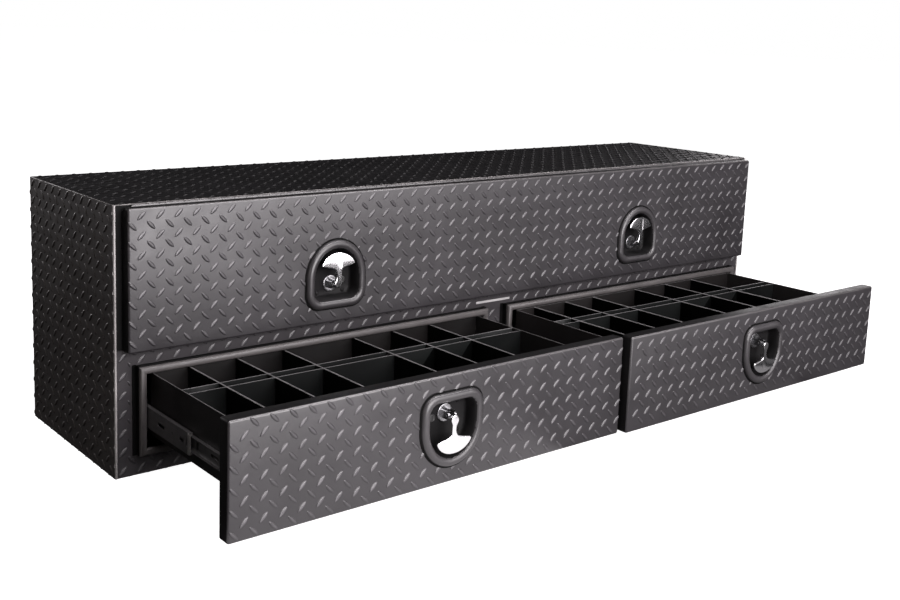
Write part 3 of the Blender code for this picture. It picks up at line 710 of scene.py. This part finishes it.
def inset(outline, distance):
    """An outline moved inward along its own normals."""
    count = len(outline)
    area = sum(outline[i][0] * outline[(i + 1) % count][1] - outline[(i + 1) % count][0] * outline[i][1] for i in range(count))
    way = 1 if area > 0 else -1
    out = []
    for i in range(count):
        (x0, z0), (x1, z1), (x2, z2) = outline[i - 1], outline[i], outline[(i + 1) % count]
        e1 = Vector((x1 - x0, z1 - z0)).normalized()
        e2 = Vector((x2 - x1, z2 - z1)).normalized()
        n = Vector((-(e1.y + e2.y), e1.x + e2.x))
        if n.length < 1e-6:
            n = Vector((-e1.y, e1.x))
        n.normalize()
        scale = min(1.6, 1.0 / max(0.5, n.dot(Vector((-e1.y, e1.x)))))
        out.append((x1 + way * n.x * distance * scale, z1 + way * n.y * distance * scale))
    return out


PLATE_Y = -11.0


def add_handle(bm):
    outline = handle_outline()
    steps = [(-4.6, 2.2), (-4.5, 1.5), (-4.2, 0.8), (-3.6, 0.25), (-2.8, 0.0), (2.2, 0.0), (2.9, 0.3), (3.4, 0.9), (3.5, 1.6)]
    rings = []
    for y, distance in steps:
        ring = []
        for x, z in inset(outline, distance):
            bow = 0.0016 * (z - 36.0) ** 2 if z > 36 else 0.0
            ring.append(bm.verts.new((x, PLATE_Y + (y + 4.6) * 0.62 + bow, z)))
        rings.append(ring)
    count = len(outline)
    for one, two in zip(rings, rings[1:]):
        for k in range(count):
            j = (k + 1) % count
            bm.faces.new((one[k], one[j], two[j], two[k]))
    caps = [bm.faces.new(rings[0]), bm.faces.new(rings[-1][::-1])]
    bmesh.ops.triangulate(bm, faces=caps)


def handle_mesh():
    tongue = [*arc(PIVOT_Y, 0, 6.0, -90, 90, 24), (PLATE_Y + 4.4, 10.0), (PLATE_Y + 4.4, -1.8)]
    root = cut(
        built(lambda bm: add_prism(bm, tongue, "X", -4.5, 4.5)),
        built(lambda bm: add_prism(bm, circle(PIVOT_Y, 0, 2.5, 20), "X", -9, 9)),
    )
    return merged(built(add_handle), root)


def spindle_mesh(reach):
    way = 1 if reach > 0 else -1
    end = abs(reach)
    cam = [(-7, -11), (7, -11), (11, -6), (10, end - 12), (7, end - 3), (0, end), (-7, end - 3), (-10, end - 12), (-11, -6)]
    cam = [(x, way * z) for x, z in cam]

    def disc(bm):
        add_turned(
            bm,
            [(0, 19.4), (12.5, 19.4), (15.0, 19.1), (16.4, 19.5), (17.0, 20.4), (17.0, 21.6), (0, 21.6)],
            (0, 0, 0),
            "Y",
            48,
        )

    def ears(bm):
        outline = [(DISH_DEPTH - 1.5, -7.0), *arc(PIVOT_Y, 0, 7.0, 270, 90, 24), (DISH_DEPTH - 1.5, 7.0)]
        for low, high in ((-9.5, -4.9), (4.9, 9.5)):
            add_prism(bm, outline, "X", low, high)

    return joined(
        built(disc),
        built(lambda bm: add_prism(bm, circle(0, 0, 8.0, 32), "Y", DISH_DEPTH - 1.5, 39.0)),
        built(ears),
        built(lambda bm: add_prism(bm, circle(PIVOT_Y, 0, 2.2, 20), "X", -10.2, 10.2)),
        built(lambda bm: add_prism(bm, cam, "Y", 33.2, 37.2)),
    )


def plug_mesh():
    face = built(
        lambda bm: add_turned(
            bm,
            [(0, 19.9), (4.6, 19.9), (5.2, 19.4), (6.6, 19.5), (7.3, 20.2), (7.4, 21.6), (0, 21.6)],
            (0, 0, 0),
            "Y",
            32,
        )
    )
    mesh = joined(
        face,
        built(lambda bm: add_prism(bm, circle(0, 0, 6.2, 28), "Y", DISH_DEPTH - 1.2, 25.4)),
        built(lambda bm: add_box(bm, -13.0, 3.0, 24.4, 25.8, -2.5, 2.5)),
    )
    return cut(mesh, built(lambda bm: add_box(bm, -0.6, 0.6, 18.0, 20.9, -3.6, 3.6)))


def add_shadow_ring(bm):
    """The thin black ring round the dish's rim: painted shadow."""
    loop = [(-3.6, 0.3), (-3.6, -0.8), (-3.1, -1.3), (0.9, -1.3), (3.0, 0.3)]
    rings = [[bm.verts.new((x, y, z)) for x, z in dish_outline(d)] for d, y in loop]
    count = len(rings[0])
    for i, ring in enumerate(rings):
        following = rings[(i + 1) % len(rings)]
        for k in range(count):
            j = (k + 1) % count
            bm.faces.new((ring[k], ring[j], following[j], following[k]))


DISH_BODY, DISH_SCREWS = dish_mesh()
# Faces deep in the dish take the darker well colour: painted shade.
WELL_SHADE_FACES = [in_dish(f.center.x, f.center.z, 0, 0, False, 15.4) or f.center.y > 3.0 for f in DISH_BODY.polygons]
HANDLE = handle_mesh()
SPINDLES = {False: spindle_mesh(-44.0), True: spindle_mesh(100.0)}
PLUG = plug_mesh()


def latch(prefix, x, z, drawn, flip, body):
    at = (x, -DEPTH / 2 - 28.0 - drawn, z)
    s = -1 if flip else 1
    dish = piece(prefix + "_dish_shown", DISH_BODY.copy(), (DISH, WELL_SHADE), body, prefix + "_latch_dish", at=at, flip=flip, smooth=40)
    for face, deep in zip(dish.data.polygons, WELL_SHADE_FACES):
        face.material_index = 1 if deep else 0
    piece(prefix + "_dish_shadow_ring", built(add_shadow_ring), SHADOW_BLACK, body, None, at=at, flip=flip, smooth=50)
    piece(prefix + "_dish_screws", DISH_SCREWS.copy(), WELL_SHADE, body, None, at=at, flip=flip, smooth=40)
    piece(prefix + "_spindle_shown", SPINDLES[flip].copy(), SPINDLE, prefix + "_spindle", prefix + "_spindle", at=at, flip=flip, smooth=35, bevel=0.35)
    piece(prefix + "_handle_shown", HANDLE.copy(), CHROME, prefix + "_handle", prefix + "_t_handle", at=at, flip=flip, smooth=50)
    plug_at = (x + s * PLUG_AT[0], at[1], z + s * PLUG_AT[1])
    piece(prefix + "_plug_shown", PLUG.copy(), LOCK, prefix + "_plug", prefix + "_lock_plug", at=plug_at, flip=flip, smooth=35)


latch("door_left", -LATCH_X, DOOR_LATCH_Z, 0.0, False, "door")
latch("door_right", LATCH_X, DOOR_LATCH_Z, 0.0, False, "door")
latch("left_drawer", -LATCH_X, DRAWER_LATCH_Z, LEFT_OPEN, True, "left_drawer")
latch("right_drawer", LATCH_X, DRAWER_LATCH_Z, RIGHT_OPEN, True, "right_drawer")


# ---------------------------------------------------------------- tread pans
BEND = 4.6


def dish_cut(x, z, flip):
    s = -1 if flip else 1

    def add(bm):
        add_prism(bm, [(x + s * a, z + s * b) for a, b in dish_outline(14.8)], "Y", -33, -20)

    return built(add)


def pan(x0, x1, z0, z1, dishes, top_end=None):
    """A pan with rounded bends, open at the back, holed for its latch dishes."""
    outer = rounded_box((x0, x1, -28.0, 30.0, z0, z1), BEND, 5)
    inner = rounded_box((x0 + 2, x1 - 2, -26.0, 40.0, z0 + 2, z1 - 2), BEND - 2, 4)
    mesh = cut(outer, inner, built(lambda bm: add_box(bm, x0 - 5, x1 + 5, -1.8, 60, z0 - 5, z1 + 5)))
    if top_end is not None:
        mesh = cut(mesh, built(lambda bm: add_box(bm, x0 - 5, x1 + 5, top_end, 10, z1 - 6, z1 + 5)))
    for dish in dishes:
        mesh = cut(mesh, dish_cut(*dish))
    return mesh


def pan_piece(name, x0, x1, z0, z1, dishes, body, node, drawn, phase, top_end=None):
    mesh = pan(x0, x1, z0, z1, dishes, top_end)
    shown = piece(name, mesh, (TREAD, FOLD_SHADE, BEND_HIGHLIGHT), body, node, drawn=drawn, smooth=32)
    front = (-DEPTH / 2 - 28.0 - drawn) * MM
    for face in shown.data.polygons:
        # Faces turned up and forward at the bends take the lighter bend colour, a painted highlight; faces set back
        # behind the front or looking back take the darker fold colour, painted shade.
        if face.normal.z > 0.38 and -0.93 < face.normal.y < -0.38:
            face.material_index = 2
        else:
            face.material_index = 1 if face.center.y > front + 0.0030 or face.normal.y > 0.5 else 0

    def keep(u, v):
        return not any(in_dish(u, v, dx, dz, flip, 9.0) for dx, dz, flip in dishes)

    points, faces, height = pan_lugs(x0, x1, z0, z1, -28.0, BEND, 3.4, keep, phase)
    piece(name + "_tread", lug_mesh(points, faces, height), TREAD, body, None, drawn=drawn, smooth=0)


DOOR_PHASE, LEFT_PHASE, RIGHT_PHASE = (25.5, 23.7), (21.5, 24.0), (30.5, 32.0)
FRAME_PHASE, RAIL_PHASE, END_PHASE = (-0.5, 12.5), (-0.5, 4.0), (13.9, 12.0)
pan_piece(
    "door_shown", -898.3, 898.3, 240.2, 504.1,
    [(-LATCH_X, DOOR_LATCH_Z, False), (LATCH_X, DOOR_LATCH_Z, False)],
    "door", "door_skin", 0.0, DOOR_PHASE, -8.5,
)
pan_piece(
    "left_front_shown", -905.0, -6.0, 29.1, 231.4, [(-LATCH_X, DRAWER_LATCH_Z, True)],
    "left_drawer", "left_drawer_front", LEFT_OPEN, LEFT_PHASE,
)
pan_piece(
    "right_front_shown", 6.0, 905.0, 29.1, 231.4, [(LATCH_X, DRAWER_LATCH_Z, True)],
    "right_drawer", "right_drawer_front", RIGHT_OPEN, RIGHT_PHASE,
)

# ---------------------------------------------------------------- shell
half = 914.4
inner = half - 2.3
for side, s in (("left", -1), ("right", 1)):
    node = side + "_end_panel"
    lo, hi = sorted((s * half, s * (half - 2)))
    piece(
        side + "_end_shown",
        built(lambda bm: add_box(bm, lo, hi, 0, DEPTH, 0, 508.0)),
        ENDS_LIT, "cabinet", node, smooth=32, bevel=1.6, segments=4,
    )
    mesh = flat_lugs(
        0, DEPTH, 0, 508.0, END_PHASE,
        lambda u, v, h, s=s: (s * (half + h), u, v),
    )
    piece(side + "_end_tread", mesh, ENDS_LIT, "cabinet", None, smooth=0)

piece(
    "roof_shown",
    built(lambda bm: add_box(bm, -inner, inner, 0, DEPTH - 2.3, 506.0, 508.0)),
    ROOF_SHADE, "cabinet", "roof_panel", smooth=32, bevel=0.9, segments=4,
)
piece(
    "roof_tread",
    flat_lugs(-inner, inner, 0, DEPTH - 2.3, (5.0, 11.0), lambda u, v, h: (u, v, 508.0 + h)),
    ROOF_SHADE, "cabinet", None, smooth=0,
)
dress("back_panel", TREAD, 0.6)
piece(
    "back_tread",
    flat_lugs(-inner, inner, 0, 508.0, (5.0, 3.0), lambda u, v, h: (u, DEPTH + h, v)),
    TREAD, "cabinet", None, smooth=0,
)
# The frame's coat carries painted shade on its lips and beside the door.
FRAME = lipped_coat(
    "frame_black", (0.0330, 0.0305, 0.0330), (0.0430, 0.0400, 0.0430), (0.0018, 0.0018, 0.0018),
    -DEPTH / 2 * MM - 0.0004 - nodes["face_frame"].matrix_world.translation.y,
    0.2415 - nodes["face_frame"].matrix_world.translation.z, 0.45,
)
dress("face_frame", FRAME, 0.5)
for side, name in ((-1, "left"), (1, "right")):
    # A mid-grey rod at each front corner: painted highlight.
    piece(
        "corner_highlight_bead_" + name,
        built(lambda bm: add_prism(bm, circle(side * 912.2, -1.2, 2.2, 20), "Z", 1.0, 506.5)),
        CORNER_HIGHLIGHT, "cabinet", None, smooth=50,
    )
for name, limits in (
    ("frame_tread_left", (-inner, -883.5, 0, 240)),
    ("frame_tread_right", (883.5, inner, 0, 240)),
    ("frame_tread_base_left", (-883.0, -25.0, 0, 33.5)),
    ("frame_tread_base_right", (25.0, 883.0, 0, 33.5)),
    ("frame_tread_post", (-22.0, 22.0, 0, 217.0)),
    ("frame_tread_rail", (-883.0, 883.0, 213.0, 250.0)),
):
    phase = RAIL_PHASE if name == "frame_tread_rail" else FRAME_PHASE
    mesh = flat_lugs(*limits, phase, lambda u, v, h: (u, -h, v), lambda u, v: not (205 < v < 236 and -64 < u < 66))
    piece(name, mesh, TREAD, "cabinet", None, smooth=0)

dress("floor_panel", SHEET, 0.4)
dress("compartment_shelf", SHEET, 0.4)
dress("centre_channel", SHEET, 0.4)
dress("left_slide_bracket", SHEET, 0.4)
dress("right_slide_bracket", SHEET, 0.4)
dress("post_trim_strip", BRIGHT, 0.25)
dress("door_inner_panel", SHEET, 0.4)


# ---------------------------------------------------------------- seals
def bulb_profile(centre, depth, radius):
    return circle(centre, depth, radius, 32)


def clip_profile():
    return [(3.2, -9.0), (3.2, -14.6), (2.4, -15.4), (-6.2, -15.4), (-7.0, -14.6), (-7.0, -9.0), (-1.3, -9.0), (-1.3, -12.3), (1.3, -12.3), (1.3, -9.0)]


def add_ring(bm, profile, x0, x1, z0, z1):
    rings = [
        [bm.verts.new(p) for p in ((x0 - n, y, z0 - n), (x1 + n, y, z0 - n), (x1 + n, y, z1 + n), (x0 - n, y, z1 + n))]
        for n, y in profile
    ]
    for i, ring in enumerate(rings):
        following = rings[(i + 1) % len(rings)]
        for k in range(4):
            j = (k + 1) % 4
            bm.faces.new((ring[k], ring[j], following[j], following[k]))


for name, limits, bulb, drop in (
    ("door_seal", (-863.0, 863.0, 261.0, 481.0), (0.0, -17.2, 8.3), 0.0),
    ("left_drawer_seal", (-871.0, -34.0, 45.0, 209.0), (-3.5, -18.5, 7.0), 2.0),
    ("right_drawer_seal", (34.0, 871.0, 45.0, 209.0), (-3.5, -18.5, 7.0), 2.0),
):
    x0, x1, z0, z1 = limits
    piece(
        name + "_bulb", built(lambda bm: add_ring(bm, bulb_profile(*bulb), x0, x1, z0, z1 - drop)), RUBBER, "cabinet", name, smooth=50
    )
    # The clip in near-black matte, far darker than the rubber bulb: painted shade.
    piece(name + "_clip", built(lambda bm: add_ring(bm, clip_profile(), x0, x1, z0, z1)), SHADOW_BLACK, "cabinet", None, smooth=30)
    if name != "door_seal":
        # Thin near-black flaps on the face beside the seal's sides: painted shade.
        shade_flap = [(-1.3, -0.2), (-9.2, -0.2), (-9.4, -0.5), (-9.2, -1.1), (-3.2, -1.9), (-1.3, -1.9)]
        piece(
            name + "_shade_flaps",
            built(
                lambda bm: add_prism(bm, [(x0 + a, b) for a, b in shade_flap], "Z", z0 - 6.0, z1 + 2.0),
                lambda bm: add_prism(bm, [(x1 - a, b) for a, b in shade_flap], "Z", z0 - 6.0, z1 + 2.0),
            ),
            SHADOW_BLACK, "cabinet", None, smooth=30,
        )

# ---------------------------------------------------------------- hinge
HINGE = (0.0, -DEPTH / 2 - 4.1, 504.1)
HINGE_LEN, KNUCKLES = 1760.0, 69


def knuckle_limits(odd):
    segment = HINGE_LEN / KNUCKLES
    for i in range(KNUCKLES):
        if i % 2 == odd:
            start = -HINGE_LEN / 2 + i * segment
            yield start + 0.35, start + segment - 0.35


def body_knuckle():
    return [(3.8, -6.0), *arc(0, 0, 3.8, 0, 285, 22), *arc(0, 0, 2.3, 285, 0, 22), (2.3, -6.0)]


def door_knuckle():
    return [(-6.0, -3.8), *arc(0, 0, 3.8, 270, 555, 22), *arc(0, 0, 2.3, 555, 270, 22), (-6.0, -2.3)]


def knuckles(outline, odd):
    def add(bm):
        for low, high in knuckle_limits(odd):
            add_prism(bm, outline, "X", low, high)

    return add


piece(
    "hinge_body_shown",
    built(
        knuckles(body_knuckle(), 0),
        lambda bm: add_box(bm, -HINGE_LEN / 2, HINGE_LEN / 2, 2.3, 3.8, -12.6, -5.9),
    ),
    HINGE_HIGHLIGHT, "cabinet", "hinge_body_leaf", at=HINGE, smooth=35,
)
piece(
    "hinge_door_shown",
    built(
        knuckles(door_knuckle(), 1),
        lambda bm: add_box(bm, -HINGE_LEN / 2, HINGE_LEN / 2, -20.0, -5.9, -3.8, -2.3),
    ),
    HINGE_HIGHLIGHT, "door", "hinge_door_leaf", at=HINGE, smooth=35,
)
piece(
    "hinge_pin_shown",
    built(lambda bm: add_turned(bm, [(0, -881.0), (1.6, -881.0), (2.0, -880.6), (2.0, 880.6), (1.6, 881.0), (0, 881.0)], (0, 0, 0), "X", 20)),
    STEEL, "cabinet", "hinge_pin", at=HINGE, smooth=35,
)

# ---------------------------------------------------------------- struts
B, A = (184.0, 324.0), (3.9, 438.1)
reach = math.hypot(A[0] - B[0], A[1] - B[1])
tilt = math.atan2(A[1] - B[1], A[0] - B[0])
for side, s in (("left", -1), ("right", 1)):
    at = (s * 849.5, B[0] - DEPTH / 2, B[1])
    cylinder = joined(
        built(lambda bm: add_turned(bm, [(0, 6), (6.5, 6), (8, 9), (8, 145), (7, 149), (5.2, 150), (0, 150)], (0, 0, 0), "Y", 32)),
        built(lambda bm: add_prism(bm, circle(0, 0, 7.5, 28), "X", -4, 4)),
    )
    cylinder = cut(
        cylinder,
        built(lambda bm: add_prism(bm, circle(0, 0, 3.8, 24), "Y", 20, 160)),
        built(lambda bm: add_prism(bm, circle(0, 0, 3.4, 24), "X", -9, 9)),
    )
    piece(side + "_strut_cylinder_shown", cylinder, STRUT, side + "_strut_cylinder", side + "_strut_cylinder", at=at, tilt=tilt)
    rod = joined(
        built(lambda bm: add_turned(bm, [(0, 26), (3.0, 26.3), (3.2, 27), (3.2, reach - 3), (0, reach - 3)], (0, 0, 0), "Y", 28)),
        built(lambda bm: add_prism(bm, circle(reach, 0, 7.0, 28), "X", -3.5, 3.5)),
    )
    piece(side + "_strut_rod_shown", rod, CHROME, side + "_strut_rod", side + "_strut_rod", at=at, tilt=tilt, bevel=0.4)
    dress(side + "_strut_bracket", STEEL, 0.3)

# ---------------------------------------------------------------- drawers
def node_mesh(node):
    """A CAD node's mesh in millimetres, y back from the front face."""
    mesh = nodes[node].data.copy()
    mesh.transform(Matrix.Scale(1000.0, 4) @ Matrix.Translation((0.0, DEPTH / 2 * MM, 0.0)) @ nodes[node].matrix_world)
    bm = bmesh.new()
    bm.from_mesh(mesh)
    bmesh.ops.remove_doubles(bm, verts=bm.verts, dist=0.002)
    bm.to_mesh(mesh)
    bm.free()
    return mesh


DIVIDERS = {
    "left": (-772.5, -672.0, -567.0, -399.0, -298.0, -197.0),
    "right": (114.0, 214.5, 311.0, 467.0, 583.0, 689.0),
}


def hems(bm, side, drawn):
    """The folded top edges of the cross dividers."""
    profile = [(-1.7, 193.4), (1.7, 193.4), (1.9, 194.2), (1.6, 195.4), (0.9, 195.95), (-0.9, 195.95), (-1.6, 195.4), (-1.9, 194.2)]
    for x in DIVIDERS[side]:
        add_prism(bm, [(x + a, b) for a, b in profile], "Y", 18.0 - drawn, 359.5 - drawn)


for side, sign, drawn in (("left", -1, LEFT_OPEN), ("right", 1, RIGHT_OPEN)):
    body = side + "_drawer"
    dress(side + "_drawer_pan", PAN, 0.35)
    grid = joined(node_mesh(side + "_divider_grid"), built(lambda bm: hems(bm, side, drawn)))
    piece(side + "_grid_shown", grid, GRID, body, side + "_divider_grid", smooth=30)
    for where, face, way in (("outer", sign * 861.5, -sign), ("inner", sign * 43.5, sign)):
        stem = f"{side}_{where}_slide_"
        dress(stem + "cabinet", SLIDE, 0.25)
        front = 4.0 - drawn / 2
        slots = built(
            lambda bm: [
                add_box(bm, face + way * 2.0, face + way * 14.0, a, b, 114 - c, 114 + c)
                for a, b, c in ((front + 9, front + 14, 6.5), (front + 62, front + 66, 2.0), (front + 96, front + 122, 3.2))
            ]
        )
        piece(
            stem + "middle_shown", cut(node_mesh(stem + "middle"), slots), SLIDE, side + "_carriage", stem + "middle",
            smooth=30, bevel=0.3,
        )
        inner_x = face + way * 3.1
        clip = joined(
            built(lambda bm: add_box(bm, inner_x - way * 0.9, inner_x + way * 0.3, front - 1.2, front + 5.5, 114 - 19.0, 114 + 19.0)),
            built(lambda bm: add_box(bm, inner_x - way * 0.9, inner_x + way * 5.0, front - 1.2, front - 0.2, 114 - 19.0, 114 + 19.0)),
        )
        clip = cut(
            clip,
            built(lambda bm: add_box(bm, inner_x - way * 4, inner_x + way * 0.9, front + 1.0, front + 2.6, 114 - 12.0, 114 + 12.0)),
            built(lambda bm: add_box(bm, inner_x + way * 2.5, inner_x + way * 6.0, front - 2.0, front + 0.6, 114 - 15.2, 114 + 15.2)),
        )
        piece(stem + "clip", clip, CLIP, side + "_carriage", None, smooth=30, bevel=0.2)
        front = 4.0 - drawn
        slots = built(
            lambda bm: [
                add_box(bm, face + way * 9.0, face + way * 14.6, a, b, 114 - c, 114 + c)
                for a, b, c in ((front + 30, front + 46, 3.0), (front + 98, front + 124, 3.0), (front + 168, front + 176, 7.0))
            ]
        )
        piece(
            stem + "drawer_shown", cut(node_mesh(stem + "drawer"), slots), SLIDE, body, stem + "drawer",
            smooth=30, bevel=0.3,
        )


# ---------------------------------------------------------------- stage
def stage_mesh(name, points, faces, mat):
    mesh = bpy.data.meshes.new(name)
    mesh.from_pydata(points, [], faces)
    mesh.materials.append(mat)
    obj = bpy.data.objects.new(name, mesh)
    bpy.context.scene.collection.objects.link(obj)
    return obj


floor_look = Nodes("pale_floor")
floor_mat = floor_look.set(
    Base_Color=floor_look.mix(floor_look.noise(1.2, 2.0), (0.60, 0.60, 0.60), (0.62, 0.62, 0.62)),
    Roughness=0.8,
    Emission_Color=(1.0, 1.0, 1.0),
    Emission_Strength=0.995,
    Specular_IOR_Level=0.1,
)
floor = stage_mesh(
    "floor", [(-40, -40, -0.0005), (40, -40, -0.0005), (40, 60, -0.0005), (-40, 60, -0.0005)], [(0, 1, 2, 3)], floor_mat
)

floor.visible_diffuse = False
floor.visible_glossy = False

world = bpy.data.worlds.new("studio")
bpy.context.scene.world = world
world.use_nodes = True
wt = world.node_tree
background = wt.nodes["Background"]
background.inputs["Strength"].default_value = 1.0
path = wt.nodes.new("ShaderNodeLightPath")
blend = wt.nodes.new("ShaderNodeMix")
blend.data_type = "RGBA"
wt.links.new(path.outputs["Is Camera Ray"], blend.inputs["Factor"])
colours = [s for s in blend.inputs if s.type == "RGBA"]
colours[0].default_value = (0.013, 0.013, 0.014, 1.0)
colours[1].default_value = (1.0, 1.0, 1.0, 1.0)
wt.links.new([s for s in blend.outputs if s.type == "RGBA"][0], background.inputs["Color"])


def area(name, place, target, size, size_y, power, colour=(1.0, 0.955, 0.975), spread=180.0):
    data = bpy.data.lights.new(name, "AREA")
    data.shape = "RECTANGLE"
    data.size, data.size_y = size, size_y
    data.energy = power
    data.color = colour
    data.spread = math.radians(spread)
    obj = bpy.data.objects.new(name, data)
    obj.location = place
    obj.rotation_euler = (Vector(target) - Vector(place)).to_track_quat("-Z", "Y").to_euler()
    obj.visible_camera = False
    bpy.context.scene.collection.objects.link(obj)
    return obj


# A broad low softbox gives the fronts their sheen, a long strip above it lights one side of the lugs, a strip
# overhead draws the bends, and a board on the floor fills the chrome
area("front_softbox_left", (-0.3, -3.3, 0.66), (-0.1, -0.3, 0.30), 1.4, 1.5, 87)
area("front_softbox_middle", (1.1, -3.3, 0.66), (-0.1, -0.3, 0.30), 1.4, 1.5, 26)
area("front_softbox_right", (2.5, -3.3, 0.66), (-0.1, -0.3, 0.30), 1.4, 1.5, 8)
area("lug_strip", (0.35, -3.4, 1.85), (0.35, -0.3, 0.30), 4.4, 0.6, 100)
area("top_strip", (-0.1, -1.25, 2.3), (-0.1, -0.45, 0.2), 2.9, 0.45, 86)
area("floor_board_left", (-0.55, -1.16, 0.02), (-0.55, -1.16, 3.0), 0.8, 1.15, 3.3)
area("floor_board_middle", (0.25, -1.16, 0.02), (0.25, -1.16, 3.0), 0.8, 1.15, 0.6)
area("floor_board_right", (1.35, -1.16, 0.02), (1.35, -1.16, 3.0), 1.3, 1.15, 0.35)
area("left_fill", (-3.2, -1.5, 0.7), (-0.9, -0.3, 0.25), 1.0, 0.9, 6, (1.0, 0.93, 0.86))
area("rear_softbox", (-1.6, 3.4, 1.3), (0.0, 0.2, 0.25), 2.0, 1.2, 62)
area("right_fill", (3.6, 1.2, 1.0), (0.9, 0.0, 0.25), 1.2, 1.0, 26)

scene = bpy.context.scene
scene.view_settings.view_transform = "Standard"

# ---------------------------------------------------------------- camera
yaw, pitch, roll = math.radians(38.333), math.radians(9.274), math.radians(1.898)
forward = Vector((math.sin(yaw) * math.cos(pitch), math.cos(yaw) * math.cos(pitch), -math.sin(pitch)))
right = Vector((math.cos(yaw), -math.sin(yaw), 0.0))
up = right.cross(forward)
r2 = math.cos(roll) * right + math.sin(roll) * up
u2 = -math.sin(roll) * right + math.cos(roll) * up
camera_data = bpy.data.cameras.new("camera")
camera_data.sensor_width = 36.0
camera_data.sensor_fit = "HORIZONTAL"
camera_data.lens = 45.376
camera_data.shift_x = 0.04518
camera_data.shift_y = -0.10047
camera_data.clip_end = 200.0
camera = bpy.data.objects.new("camera", camera_data)
rotation = Matrix((r2, u2, -forward)).transposed()
camera.matrix_world = Matrix.Translation((-1.7226, -2.0648, 0.838)) @ rotation.to_4x4()
bpy.context.scene.collection.objects.link(camera)
bpy.context.scene.camera = camera
